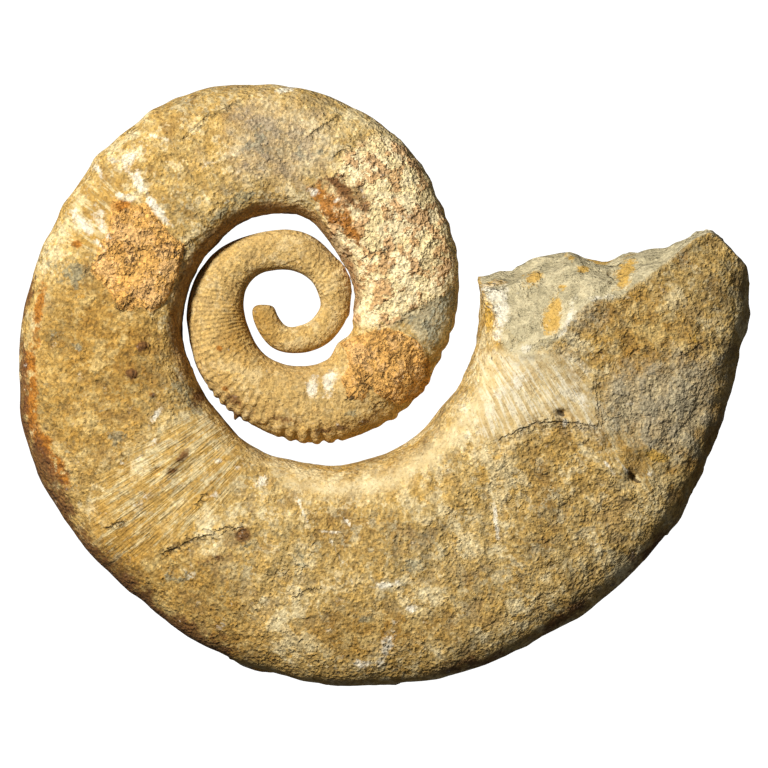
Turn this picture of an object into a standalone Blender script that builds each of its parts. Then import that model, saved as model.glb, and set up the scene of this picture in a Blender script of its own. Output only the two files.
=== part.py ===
"""Fossil heteromorph ammonite: one open coil of stone, lying on its flank.

The shell is a tube whose section grows along a flat spiral of two and a half
open whorls. It is lofted ring by ring from the blunt first chamber to the
broken end of the body chamber. Everything is worked out in millimetres in the
coil's own plane (x and y across the coil, z through its thickness), and is
turned into metres only when the mesh is written.
"""

import math

import bmesh
import bpy
import numpy as np
from mathutils import Matrix

NAME = "ammonite"
COLLECTION = "fossil_heteromorph_ammonite"
MM = 0.001

# The spiral, seen square to its plane. "Turn" is the angle in degrees run along
# the coil, anticlockwise, from the +x direction; whorls repeat every 360.
# Rows: turn, inner radius, outer radius, both from the coil's centre.
WHORL_RADII = (
    (180, 17.5, 33.0), (210, 17.0, 33.5), (240, 17.0, 34.5), (270, 14.0, 33.0),
    (300, 13.0, 32.5), (330, 13.0, 32.5), (360, 14.0, 34.5), (390, 14.5, 38.5),
    (420, 17.5, 42.0), (450, 22.0, 50.5), (480, 28.0, 57.0), (510, 36.0, 69.0),
    (540, 39.0, 76.6), (570, 40.0, 82.0), (600, 43.0, 87.0), (630, 42.0, 93.0),
    (660, 40.5, 98.5), (675, 37.0, 101.0), (690, 40.0, 101.5), (720, 38.0, 107.5),
    (750, 41.0, 115.5), (780, 48.0, 131.5), (810, 62.0, 148.0), (840, 68.5, 163.0),
    (870, 72.6, 172.0), (885, 76.8, 177.5), (900, 80.0, 188.0), (930, 86.0, 210.5),
    (960, 96.5, 228.0), (990, 109.0, 256.0), (1020, 117.5, 278.0), (1050, 121.5, 295.5),
    (1065, 122.5, 298.5), (1080, 123.5, 306.5), (1110, 124.5, 309.0),
)

# Through its thickness the tube is slimmer than it is deep. Its inner side stands
# up squarely from the middle of the coil, and its flanks slope toward the outer
# edge. Rows: turn, thickness over depth, roundness exponent of the inner side and
# of the outer side, loss of thickness toward the outer edge.
SECTION_FORM = (
    (180, 0.86, 2.1, 2.1, 0.00), (540, 0.80, 2.3, 2.2, 0.04),
    (700, 0.75, 2.6, 2.5, 0.08), (810, 0.69, 3.0, 2.5, 0.13),
    (960, 0.63, 3.1, 2.9, 0.17), (1040, 0.615, 3.0, 3.6, 0.18),
    (1110, 0.61, 3.0, 4.0, 0.18),
)
SIDE_BLEND = 0.4

# The first chamber opens from its tip over this many degrees. The last rings bend
# from this turn on, more and more, to meet the broken end.
TIP_TURN = 179.5
TIP_ROUNDING_TURN = 13.0
LAST_FULL_TURN = 1080.0
NOMINAL_END_TURN = 1084.0
END_BEND_TURN, END_BEND_POWER = 80.0, 1.5

# The broken end. Rows: distance from the coil's centre, height of the break
# above the centre line, along its crest and along its lower front edge.
BREAK_CREST = (
    (125.0, 20.0), (134.0, 23.0), (146.0, 25.0), (155.0, 29.5), (172.0, 33.5),
    (184.0, 39.0), (196.0, 33.0), (214.0, 33.0), (220.0, 36.0), (246.0, 38.5),
    (268.0, 48.0), (279.0, 50.5), (289.0, 44.5), (302.0, 30.0), (306.0, 14.0),
)
BREAK_FRONT = (
    (125.0, -30.0), (150.0, -34.0), (168.0, -26.0), (181.0, -13.0), (196.0, 1.0),
    (220.0, 3.5), (236.0, 16.0), (250.0, 27.5), (268.0, 43.0), (279.0, 48.0),
    (306.0, 14.0),
)
BREAK_HALF_THICKNESS = 58.0
BREAK_CREST_AT = -0.15
BREAK_FRONT_SLOPE = ((0.0, 0.0), (0.45, 0.22), (0.8, 0.62), (1.0, 1.0))
BREAK_BACK_DROP = 12.0
BREAK_STEP_HEIGHT = 2.0
BREAK_STEP_RUNS = (9.0, 11.0, 17.0)

# Ribs cross the inner whorls, strongest on the outer edge. The flank share is how
# much of their height they keep half way down the flank.
RIB_FIRST_TURN, RIB_LAST_TURN, RIB_STEP_TURN = 450.0, 790.0, 5.5
RIB_FADE_IN_TURN, RIB_FADE_OUT_TURN = 60.0, 110.0
RIB_HEIGHT, RIB_FLANK_SHARE = 0.9, 0.45

# Low stumps of three ribs on the outer edge of the last whorl, by turn.
RIB_STUMPS = (848.0, 864.0, 878.0)
STUMP_HEIGHT, STUMP_WIDTH_TURN = 2.2, 3.0

# Patches of sediment crust still fused to the upper flank.
# Rows: centre x, centre y, half length, half width, lean in degrees, height.
CRUSTS = (
    (-104.0, 40.0, 36.0, 29.0, -20.0, 2.6),
    (72.0, 57.0, 50.0, 34.0, -75.0, 2.2),
    (59.0, -44.0, 34.0, 26.0, 20.0, 3.0),
    (-75.0, -163.0, 17.0, 11.0, 10.0, 1.8),
)
CRUST_EDGE = 0.22
CRUST_RAGGEDNESS = 0.08
CRUST_RAGGED_RUNS = ((5.0, 7.0), (-9.0, 4.3))

# The ledge where rough matrix stands above the smooth shell of the last half
# whorl: it lies past this line, rising by this much over this distance.
LEDGE_X, LEDGE_Y_RANGE, LEDGE_FADE = 203.0, (-100.0, -40.0), 27.0
LEDGE_RISE, LEDGE_RUN = 1.8, 6.0

# Crusts and the ledge lie on the upper flank, fading in over this much of it.
UPPER_FADE = 0.35

# Slow swells of the worn surface, full-grown where the coil's outer radius passes
# the second number. Rows: height, wavelengths in x, y, z, phase.
SWELL_GROWTH_RADII, LEAST_SWELL, SWELL_DEPTH_SHARE = (30.0, 120.0), 0.1, 0.5
SWELLS = (
    (0.9, 97.0, 131.0, 83.0, 0.4), (0.8, 71.0, 59.0, 67.0, 2.1),
    (0.6, 43.0, 47.0, 39.0, 4.4), (0.4, 29.0, 33.0, 31.0, 1.3),
)

# Lying down: the thick end lifts the coil's plane by this lean, in degrees, and
# the flank is worn flat, this deep, where it carries the weight.
REST_LEAN = -3.65
WORN_FLAT = 2.4

FINE_RING, COARSE_RING = 32, 16
RING_CHANGE_TURN = RIB_LAST_TURN
TIP_FRACTIONS = (0.04, 0.15, 0.4, 0.8)
TIP_STEP_TURN, BODY_STEP_TURN = 12.0, 4.0
CAP_RINGS = (0.8, 0.58, 0.34)
END_TURN_TRIES = 6

STONE_COLOUR, STONE_ROUGHNESS = (0.47, 0.32, 0.14, 1.0), 0.85


def smooth_curve(at, rows, column):
    """A curve through the rows' points, with slopes taken from their neighbours."""
    xs = np.array([row[0] for row in rows], dtype=float)
    ys = np.array([row[column] for row in rows], dtype=float)
    slopes = np.gradient(ys, xs)
    i = np.clip(np.searchsorted(xs, at) - 1, 0, len(xs) - 2)
    gap = xs[i + 1] - xs[i]
    t = np.clip((at - xs[i]) / gap, 0.0, 1.0)
    rise = t * t * (3 - 2 * t)
    leave = t * (1 - t) ** 2 * gap * slopes[i]
    arrive = t * t * (t - 1) * gap * slopes[i + 1]
    return (1 - rise) * ys[i] + leave + rise * ys[i + 1] + arrive


def straight_curve(at, rows):
    """Straight runs between the rows' points."""
    return np.interp(at, [row[0] for row in rows], [row[1] for row in rows])


def smooth_step(value, low, high):
    t = np.clip((value - low) / (high - low), 0.0, 1.0)
    return t * t * (3 - 2 * t)


def signed_power(value, power):
    return np.sign(value) * np.abs(value) ** power


def tip_scale(turn):
    """How far the tube has opened behind its blunt rounded tip, 0 to 1."""
    back = np.clip((TIP_TURN + TIP_ROUNDING_TURN - turn) / TIP_ROUNDING_TURN, 0.0, 1.0)
    return (1 - back ** 3) ** (1 / 3)


def section(turn, around):
    """Distance from the coil's centre and height off its plane, on the tube."""
    inner = smooth_curve(turn, WHORL_RADII, 1)
    outer = smooth_curve(turn, WHORL_RADII, 2)
    width = smooth_curve(turn, SECTION_FORM, 1)
    inner_form = smooth_curve(turn, SECTION_FORM, 2)
    outer_form = smooth_curve(turn, SECTION_FORM, 3)
    side = smooth_step(np.cos(around), -SIDE_BLEND, SIDE_BLEND)
    power = 2.0 / (inner_form + (outer_form - inner_form) * side)
    half_depth = (outer - inner) / 2 * tip_scale(turn)
    out = signed_power(np.cos(around), power)
    slope = 1 - smooth_curve(turn, SECTION_FORM, 4) * out
    radius = (outer + inner) / 2 + half_depth * out
    height = half_depth * width * slope * signed_power(np.sin(around), power)
    return radius, height


def break_height(across, height):
    """How far the broken end stands above the coil's centre line."""
    crest = straight_curve(across, BREAK_CREST)
    front = straight_curve(across, BREAK_FRONT)
    side = height / BREAK_HALF_THICKNESS
    ahead = np.clip((side - BREAK_CREST_AT) / (1 - BREAK_CREST_AT), 0.0, 1.0)
    behind = np.clip((BREAK_CREST_AT - side) / (1 + BREAK_CREST_AT), 0.0, 1.0)
    run_x, run_z, run_slant = BREAK_STEP_RUNS
    steps = np.sin(across / run_x) * np.sin(height / run_z + across / run_slant)
    steps = BREAK_STEP_HEIGHT * steps * ahead * (1 - ahead)
    fall = straight_curve(ahead, BREAK_FRONT_SLOPE)
    return crest + (front - crest) * fall - BREAK_BACK_DROP * behind + steps


def end_turn(around):
    """The turn at which each line along the tube meets the broken end."""
    turn = np.full_like(around, LAST_FULL_TURN)
    for _ in range(END_TURN_TRIES):
        radius, height = section(turn, around)
        lean = np.radians(turn - LAST_FULL_TURN)
        across = radius * np.cos(lean)
        turn = LAST_FULL_TURN + np.degrees(np.arctan2(break_height(across, height), across))
    return turn


def ribs(turn, around):
    """Ribs of the inner whorls and the three stumps on the outer edge."""
    fade = smooth_step(turn, RIB_FIRST_TURN, RIB_FIRST_TURN + RIB_FADE_IN_TURN)
    fade = fade * (1 - smooth_step(turn, RIB_LAST_TURN - RIB_FADE_OUT_TURN, RIB_LAST_TURN))
    outward = RIB_FLANK_SHARE + (1 - RIB_FLANK_SHARE) * np.cos(around)
    wave = np.cos((turn - RIB_FIRST_TURN) / RIB_STEP_TURN * 2 * math.pi)
    height = RIB_HEIGHT * fade * np.clip(outward, 0.0, 1.0) * wave
    for stump in RIB_STUMPS:
        near = np.exp(-((turn - stump) / STUMP_WIDTH_TURN) ** 2)
        height = height + STUMP_HEIGHT * near * np.clip(np.cos(around), 0.0, 1.0) ** 2
    return height


def crusts(x, y, upper):
    """Raised plates of sediment, each an uneven oval with a steep edge."""
    raised = np.zeros_like(x)
    for centre_x, centre_y, length, width, lean, height in CRUSTS:
        turn = math.radians(lean)
        along = (x - centre_x) * math.cos(turn) + (y - centre_y) * math.sin(turn)
        across = (y - centre_y) * math.cos(turn) - (x - centre_x) * math.sin(turn)
        ragged = sum(np.sin(x / run_x + y / run_y) for run_x, run_y in CRUST_RAGGED_RUNS)
        out = np.hypot(along / length, across / width) + CRUST_RAGGEDNESS * ragged
        raised = np.maximum(raised, height * (1 - smooth_step(out, 1 - CRUST_EDGE, 1.0)))
    return raised * upper


def ledge(x, y, upper):
    """The step up from smooth shell to rough matrix on the last half whorl."""
    low, high = LEDGE_Y_RANGE
    run = smooth_step(y, low - LEDGE_FADE, low) * (1 - smooth_step(y, high, high + LEDGE_FADE))
    return LEDGE_RISE * smooth_step(x, LEDGE_X, LEDGE_X + LEDGE_RUN) * run * upper


def swells(x, y, z):
    """Slow unevenness of a worn stone: a sum of crossed waves."""
    total = np.zeros_like(x)
    for height, wave_x, wave_y, wave_z, phase in SWELLS:
        ripple = np.sin(2 * math.pi * x / wave_x + phase) * np.sin(2 * math.pi * y / wave_y)
        depth = SWELL_DEPTH_SHARE * np.sin(2 * math.pi * z / wave_z + phase)
        total = total + height * (ripple + depth)
    return total


def tube_points(turn, around):
    """Points on the tube's wall, pushed out along its section by the relief."""
    radius, height = section(turn, around)
    angle = np.radians(turn)
    x, y = radius * np.cos(angle), radius * np.sin(angle)
    upper = smooth_step(np.sin(around), 0.0, UPPER_FADE)
    small, grown = SWELL_GROWTH_RADII
    growth = (smooth_curve(turn, WHORL_RADII, 2) - small) / (grown - small)
    size = np.clip(growth, LEAST_SWELL, 1.0) * tip_scale(turn)
    push = ribs(turn, around) + crusts(x, y, upper) + ledge(x, y, upper)
    push = push + swells(x, y, height) * size
    outward, lift = push * np.cos(around), push * np.sin(around)
    return np.stack(
        [x + outward * np.cos(angle), y + outward * np.sin(angle), height + lift], axis=-1
    )


def station_turns():
    """Turns of the rings: even on the tip, two to a rib, even again to the end."""
    tip = TIP_TURN + TIP_ROUNDING_TURN * np.array(TIP_FRACTIONS)
    first = np.arange(tip[-1] + TIP_STEP_TURN, RIB_FIRST_TURN, TIP_STEP_TURN)
    ribbed = np.arange(RIB_FIRST_TURN, RING_CHANGE_TURN, RIB_STEP_TURN / 2)
    steps = round((NOMINAL_END_TURN - RING_CHANGE_TURN) / BODY_STEP_TURN)
    body = np.linspace(RING_CHANGE_TURN, NOMINAL_END_TURN, steps + 1)
    return np.concatenate([tip, first, ribbed]), body


def wall_rings():
    """All rings of the wall; the last ones lean to meet the broken end."""
    small_turns, body_turns = station_turns()
    small_around = np.arange(COARSE_RING) * 2 * math.pi / COARSE_RING
    rings = [tube_points(np.full(COARSE_RING, turn), small_around) for turn in small_turns]
    around = np.arange(FINE_RING) * 2 * math.pi / FINE_RING
    reach = end_turn(around) - NOMINAL_END_TURN
    bend_start = NOMINAL_END_TURN - END_BEND_TURN
    for turn in body_turns:
        lean = np.clip((turn - bend_start) / END_BEND_TURN, 0.0, 1.0) ** END_BEND_POWER
        rings.append(tube_points(turn + reach * lean, around))
    return rings


def cap_rings(rim):
    """Rings of the broken end, shrinking to its middle, laid on the break."""
    middle = rim[:, [0, 2]].mean(axis=0)
    rings = []
    for scale in CAP_RINGS:
        flat = middle + (rim[:, [0, 2]] - middle) * scale
        height = break_height(flat[:, 0], flat[:, 1])
        rings.append(np.stack([flat[:, 0], height, flat[:, 1]], axis=-1))
    centre = np.array([middle[0], break_height(*middle), middle[1]])
    return rings, centre


def join_rings(mesh, first, second):
    """Faces between two rings; a ring may meet one with twice its points."""
    count, ratio = len(first), len(second) // len(first)
    for i in range(count):
        j = (i + 1) % count
        if ratio == 1:
            mesh.faces.new((first[i], first[j], second[j], second[i]))
            continue
        half = second[2 * i + 1]
        mesh.faces.new((first[i], half, second[2 * i]))
        mesh.faces.new((first[i], first[j], half))
        mesh.faces.new((first[j], second[2 * j], half))


def close_with_fan(mesh, ring, point):
    centre = mesh.verts.new(point)
    for i, vert in enumerate(ring):
        mesh.faces.new((vert, ring[(i + 1) % len(ring)], centre))


def loft():
    """The whole fossil as one closed bmesh, still in the coil's own plane."""
    mesh = bmesh.new()
    rings = wall_rings()
    caps, centre = cap_rings(rings[-1])
    rows = [[mesh.verts.new(point) for point in ring] for ring in rings + caps]
    for first, second in zip(rows, rows[1:]):
        join_rings(mesh, first, second)
    tip = rings[0].mean(axis=0)
    close_with_fan(mesh, rows[0][::-1], tip)
    close_with_fan(mesh, rows[-1], centre)
    bmesh.ops.triangulate(mesh, faces=mesh.faces[:])
    bmesh.ops.recalc_face_normals(mesh, faces=mesh.faces[:])
    return mesh


def lay_down(mesh):
    """Lean the coil to its rest, wear the underside flat and centre the box."""
    mesh.transform(Matrix.Rotation(math.radians(REST_LEAN), 4, "Y"))
    floor = min(vert.co.z for vert in mesh.verts) + WORN_FLAT
    for vert in mesh.verts:
        vert.co.z = max(vert.co.z, floor)
    xs = [vert.co.x for vert in mesh.verts]
    ys = [vert.co.y for vert in mesh.verts]
    centre_x, centre_y = (min(xs) + max(xs)) / 2, (min(ys) + max(ys)) / 2
    mesh.transform(Matrix.Translation((-centre_x, -centre_y, -floor)))
    mesh.transform(Matrix.Scale(MM, 4))


def stone_material():
    material = bpy.data.materials.new("ochre_limestone")
    material.use_nodes = True
    shader = material.node_tree.nodes["Principled BSDF"]
    shader.inputs["Base Color"].default_value = STONE_COLOUR
    shader.inputs["Roughness"].default_value = STONE_ROUGHNESS
    shader.inputs["Metallic"].default_value = 0.0
    return material


def main():
    for old in list(bpy.data.objects):
        bpy.data.objects.remove(old, do_unlink=True)
    collection = bpy.data.collections.new(COLLECTION)
    bpy.context.scene.collection.children.link(collection)
    solid = loft()
    lay_down(solid)
    mesh = bpy.data.meshes.new(NAME)
    solid.to_mesh(mesh)
    solid.free()
    mesh.materials.append(stone_material())
    collection.objects.link(bpy.data.objects.new(NAME, mesh))


main()
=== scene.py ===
"""Fossil heteromorph ammonite: the stone's real surface, its finish and the stage.

The open coil is one piece of weathered limestone. Its wall is a grid of two
parameters, the turn along the coil and the angle around the tube, and the broken
end is a height field over the last section. Relief is added in millimetres along
the wall's own normal: ribs, crusts, hollows and rough stone in the mesh, and
cracks, small ledges, pits and grain in the material. The same patches that shape
the surface are stored on its points as attributes, from which the stone's material
takes its colours.
"""

import math

import bpy
import numpy as np
from mathutils import Matrix, Vector


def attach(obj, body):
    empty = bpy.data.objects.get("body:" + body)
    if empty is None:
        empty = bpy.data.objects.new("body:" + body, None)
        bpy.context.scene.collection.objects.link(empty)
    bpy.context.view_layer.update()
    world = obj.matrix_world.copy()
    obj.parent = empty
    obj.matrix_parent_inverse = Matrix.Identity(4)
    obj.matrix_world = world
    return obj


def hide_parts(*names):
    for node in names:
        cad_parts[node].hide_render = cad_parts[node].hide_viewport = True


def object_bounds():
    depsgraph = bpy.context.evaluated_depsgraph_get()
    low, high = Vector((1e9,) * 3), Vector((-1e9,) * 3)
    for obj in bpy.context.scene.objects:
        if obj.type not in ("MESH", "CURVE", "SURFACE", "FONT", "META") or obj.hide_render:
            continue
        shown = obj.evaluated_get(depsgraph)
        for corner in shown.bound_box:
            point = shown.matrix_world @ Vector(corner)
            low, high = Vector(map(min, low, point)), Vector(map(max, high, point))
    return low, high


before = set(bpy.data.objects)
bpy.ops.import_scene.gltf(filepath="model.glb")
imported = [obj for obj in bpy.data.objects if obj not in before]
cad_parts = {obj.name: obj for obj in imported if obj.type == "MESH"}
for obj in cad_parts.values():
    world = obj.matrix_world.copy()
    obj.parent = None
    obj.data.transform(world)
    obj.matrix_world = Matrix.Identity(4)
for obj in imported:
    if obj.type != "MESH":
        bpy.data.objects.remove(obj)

bl_info = {
    "name": "Fossil Ammonite",
    "version": (1, 0, 0),
    "blender": (4, 5, 0),
    "location": "View3D > Sidebar > Fossil",
    "description": "Builds a weathered open-coiled fossil ammonite and its stage",
    "category": "Object",
}

CAD_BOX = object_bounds()
MM = 0.001
FULL_TURN = 2 * math.pi
NODE = "ammonite"

# ---------------------------------------------------------------- the coil

# The spiral, seen square to its plane. "Turn" is the angle in degrees run along
# the coil, anticlockwise, from the +x direction. Rows: turn, inner radius, outer
# radius, both in millimetres from the coil's centre.
WHORL_RADII = (
    (180, 17.5, 33.0), (210, 17.0, 33.5), (240, 17.0, 34.5), (270, 14.0, 33.0),
    (300, 13.0, 32.5), (330, 13.0, 32.5), (360, 14.0, 34.5), (390, 14.5, 38.5),
    (420, 17.5, 42.0), (450, 22.0, 50.5), (480, 28.0, 57.0), (510, 36.0, 69.0),
    (540, 39.0, 76.6), (570, 40.0, 82.0), (600, 43.0, 87.0), (630, 42.0, 93.0),
    (660, 40.5, 98.5), (675, 37.0, 101.0), (690, 40.0, 101.5), (720, 38.0, 107.5),
    (750, 41.0, 115.5), (780, 48.0, 131.5), (810, 62.0, 148.0), (840, 68.5, 163.0),
    (870, 72.6, 172.0), (885, 76.8, 177.5), (900, 80.0, 188.0), (930, 86.0, 210.5),
    (960, 96.5, 228.0), (990, 109.0, 256.0), (1020, 117.5, 278.0), (1050, 121.5, 295.5),
    (1065, 122.5, 298.5), (1080, 123.5, 306.5), (1110, 124.5, 309.0),
)

# The tube's section. Rows: turn, thickness over depth, roundness exponent of the
# inner side and of the outer side, loss of thickness toward the outer edge.
SECTION_FORM = (
    (180, 0.86, 2.1, 2.1, 0.00), (540, 0.80, 2.3, 2.2, 0.04),
    (700, 0.75, 2.6, 2.5, 0.08), (810, 0.69, 3.0, 2.5, 0.13),
    (960, 0.63, 3.1, 2.9, 0.17), (1040, 0.615, 3.0, 3.6, 0.18),
    (1110, 0.61, 3.0, 4.0, 0.18),
)

# The two exponents blend where the section's cosine is within this of nought, and its
# slope is measured over a small angle, in radians.
SIDE_BLEND = 0.4
SMALL_ANGLE = 0.004

# The first chamber starts at the tip's turn and opens over its rounding. The last
# rings bend, more and more, to meet the broken end: they start so many degrees before
# its nominal turn.
TIP_TURN = 179.5
TIP_ROUNDING_TURN = 13.0
LAST_FULL_TURN = 1080.0
NOMINAL_END_TURN = 1084.0
END_BEND_TURN, END_BEND_POWER = 80.0, 1.5
END_TURN_TRIES = 6

# The broken end. Rows: distance from the coil's centre, height of the break
# above the centre line, along its crest and along its lower front edge.
BREAK_CREST = (
    (125.0, 20.0), (134.0, 23.0), (146.0, 25.0), (155.0, 29.5), (172.0, 33.5),
    (179.0, 35.0), (184.0, 39.0), (190.0, 37.0), (196.0, 33.0), (214.0, 33.0),
    (220.0, 36.0), (246.0, 38.5), (254.0, 42.5), (268.0, 48.0), (275.0, 50.5),
    (283.0, 50.0), (289.0, 44.5), (295.0, 37.5), (302.0, 30.0), (306.0, 14.0),
)
BREAK_FRONT = (
    (125.0, -30.0), (150.0, -34.0), (168.0, -26.0), (181.0, -13.0), (189.0, -5.5),
    (196.0, 1.0), (220.0, 3.5), (224.0, 9.0), (236.0, 16.0), (250.0, 27.5),
    (268.0, 43.0), (279.0, 48.0), (306.0, 14.0),
)

# The crest lies at this share of the half thickness. Toward the front the break falls
# in rows of share of the way, share of the fall, with low steps on it, and toward the
# back by a set drop.
BREAK_HALF_THICKNESS = 58.0
BREAK_CREST_AT = -0.15
BREAK_FRONT_SLOPE = ((0.0, 0.0), (0.45, 0.22), (0.8, 0.62), (1.0, 1.0))
BREAK_BACK_DROP = 12.0
BREAK_STEP_HEIGHT = 2.0
BREAK_STEP_RUNS = (9.0, 11.0, 17.0)

# The break's flat facets: their size in mm, their random seed, how far their edges
# are bent, and how much they differ in height.
FACET_SIZE, FACET_SEED, FACET_BEND, FACET_STEP = 17.0, 22, 3.0, 3.2

# How the coil lies in the frame: its plane's lean in degrees, and where the
# coil's centre stands, in millimetres.
REST_LEAN = -3.65
COIL_CENTRE = (-57.15, 54.92, 46.47)

# Plan places are read on a sheet ruled in steps of so many mm, columns to the right
# and rows down, with the coil's centre at a known place on it. It is seen from an eye
# this many mm above its middle.
SHEET_STEP = 0.685
SHEET_CENTRE = (300.0, 305.0)
SHEET_MIDDLE = (384.0, 384.0)
SHEET_EYE = 3000.0

# ------------------------------------------------------------- the mesh's rings

# Points around the tube, and rings along it, on the inner whorls and the last one.
# The first of these rings stands so many degrees past the tip's own.
INNER_RING, OUTER_RING = 68, 136
RING_CHANGE_TURN = 702.0
INNER_STATIONS, OUTER_STATIONS = 380, 500
FIRST_STATION_TURN = 1.5

# How much closer the points stand on the upper flank, the share of the outer edge in
# the spacing of rings, and how many steps the spacings are worked out in.
UPPER_CROWDING, OUTER_PACE = 0.6, 0.65
RING_STEPS, STATION_STEPS = 2881, 2000

# Where the tip's own rings stand on its rounding, 0 to 1, and how many rings the
# break has.
TIP_FRACTIONS = (0.0002, 0.002, 0.01, 0.04, 0.1, 0.2, 0.35, 0.55, 0.8)
CAP_RINGS = 24

# Flat layout, 0 to 1. Rows: first turn, last turn, box left, bottom, right, top.
LAYOUT_NAME = "OFBake"
OUTER_STRIPS = (
    (985.0, 1085.0, (0.002, 0.002, 0.364, 0.628)), (870.0, 985.0, (0.368, 0.002, 0.692, 0.628)),
    (702.0, 870.0, (0.696, 0.002, 0.998, 0.628)),
)
INNER_STRIPS = (
    (480.0, 702.0, (0.002, 0.636, 0.440, 0.998)), (179.0, 480.0, (0.446, 0.636, 0.700, 0.998)),
)
CAP_BOX = (0.706, 0.720, 0.998, 0.998)
JOIN_BOX = (0.706, 0.690, 0.960, 0.700)
TIP_BOX = (0.964, 0.664, 0.998, 0.698)

# ------------------------------------------------------------- relief, in mm

# Noise that shapes the surface: size in mm, octaves, seed. A kind of patch or spot
# adds its own number to the seed, and a kind of spot has a size of its own.
NOISES = {
    "slow": (34.0, 3, 3), "rough": (10.0, 3, 4), "rib_wear": (16.0, 3, 5),
    "ragged": (9.0, 3, 11), "lumps": (15.0, 4, 12), "knobs": (6.0, 2, 13),
    "facet_bend": (12.0, 1, 21), "break_slow": (30.0, 4, 23), "break_rough": (9.0, 3, 24),
    "hidden_patch": (130.0, 3, 40), "hidden_spot": (None, 3, 70),
}
# Each octave's lattice is tilted by two angles more, in radians, and each seed moves
# the lattice by this many cells.
OCTAVE_TILTS = (1.1, 0.7)
SEED_SHIFT = 31.7

# Spans over which a thing fades in, from none of it to all of it.
SPANS = {
    # by turn, in degrees
    "past_inner_whorls": (640.0, 730.0), "rough_end": (1005.0, 1045.0),
    "rough_quarter": (1030.0, 1058.0),
    "rough_side_starts": (700.0, 750.0), "rough_side_ends": (915.0, 970.0),
    "dark_wall_starts": (690.0, 740.0), "dark_wall_ends": (905.0, 960.0),
    # by how squarely the wall faces the coil's middle, 0 to 1
    "rough_side": (0.1, 0.6), "dark_wall": (0.62, 0.94),
    # by height off the coil's plane, in mm
    "upper_side": (-9.0, 1.0),
    # by distance from a crack, in sheet steps
    "off_crack": (2.5, 7.0),
    # by height on a hollow's cone
    "hollow": (-0.15, 0.45),
    # by depth inside a patch, in mm
    "rusty_crust": (-0.8, 1.0), "pale_crust": (-2.0, 3.0), "scraped": (-8.0, 8.0),
    "smooth_shell": (-8.0, 12.0), "fresh_break": (-2.0, 3.0),
    "smoothed_shell": (-10.0, 10.0), "smoothed_wall": (-6.0, 10.0),
}

# Rough stone: on every wall, more as the coil grows, and more where it is rough.
SLOW_HEIGHT = 0.8
ROUGH_HEIGHTS = (0.25, 0.35, 0.8)
ROUGH_SIDE_SHARE = 0.9
BREAK_HEIGHTS = (("break_slow", 2.6), ("break_rough", 1.8))

# How sharply the break's roughness fades at its rim, and the wall's relief inside it.
BREAK_RIM_POWER, BREAK_CARRY_POWER = 8, 3

# Ribs. Rows: turn, running number of the rib there; turn, height of the ribs; turn,
# height of the fine ribs, which only the finish shows.
RIB_NUMBERS = (
    (330, 0.0), (450, 17.0), (500, 28.0), (560, 50.0), (580, 56.0), (610, 63.0),
    (650, 70.0), (800, 91.0),
)
RIB_STRENGTHS = ((560, 0.0), (595, 0.75), (640, 0.9), (690, 0.7), (730, 0.35), (790, 0.0))
FINE_RIB_STRENGTHS = (
    (345, 0.0), (380, 0.5), (420, 0.6), (450, 0.1), (490, 0.2), (520, 0.6), (560, 0.7),
    (590, 0.40), (640, 0.3), (700, 0.2), (760, 0.0),
)
RIB_LEAN_TURN, RIB_GAP_SHARE = 1.6, 0.25
RIB_FLANK_SHARE, RIB_EDGE_POWER = 0.3, 1.5

# How worn the ribs are: the height left on average, how much that varies, the most.
RIB_WEAR, RIB_WEAR_RANGE, MOST_RIB = 0.8, 2.4, 2.2

# Low stumps of three ribs on the outer edge of the last whorl, by turn.
RIB_STUMPS = (848.0, 864.0, 878.0)
STUMP_HEIGHT, STUMP_WIDTH_TURN = 2.0, 3.0

# Growth lines. Rows: turn, how far they lean back toward the outer edge.
GROWTH_LEAN = ((180, 0.05), (700, 0.10), (948, 0.28), (1010, 0.5), (1061, 0.8), (1110, 0.8))
GROWTH_RADIUS = 150.0

# Slow swells, full-grown where the coil's outer radius passes the second number.
# Rows: height, wavelengths in x, y, z, phase.
SWELL_GROWTH_RADII, LEAST_SWELL, SWELL_DEPTH_SHARE = (30.0, 120.0), 0.12, 0.5
SWELLS = (
    (0.9, 97.0, 131.0, 83.0, 0.4), (0.6, 71.0, 59.0, 67.0, 2.1),
    (0.4, 43.0, 47.0, 39.0, 4.4), (0.2, 29.0, 33.0, 31.0, 1.3),
)

# Raised patches. Rows: patch, how ragged its edge is, the depths inside it where it
# starts and is full, then the height of the plate, of its lumps and of its knobs.
RAISED_PATCHES = (
    ("rusty_crust", 2.2, -0.6, 1.6, 1.9, 1.5, 1.1),
    ("pale_crust", 4.4, -1.5, 3.0, 1.0, 0.8, 0.7),
    ("matrix", 8.8, -8.0, 8.0, 0.5, 1.2, 1.0),
)

# --------------------------------------------------------- patches of the stone
# Closed outlines on the sheet, each of the points that its shape needs.

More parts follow.
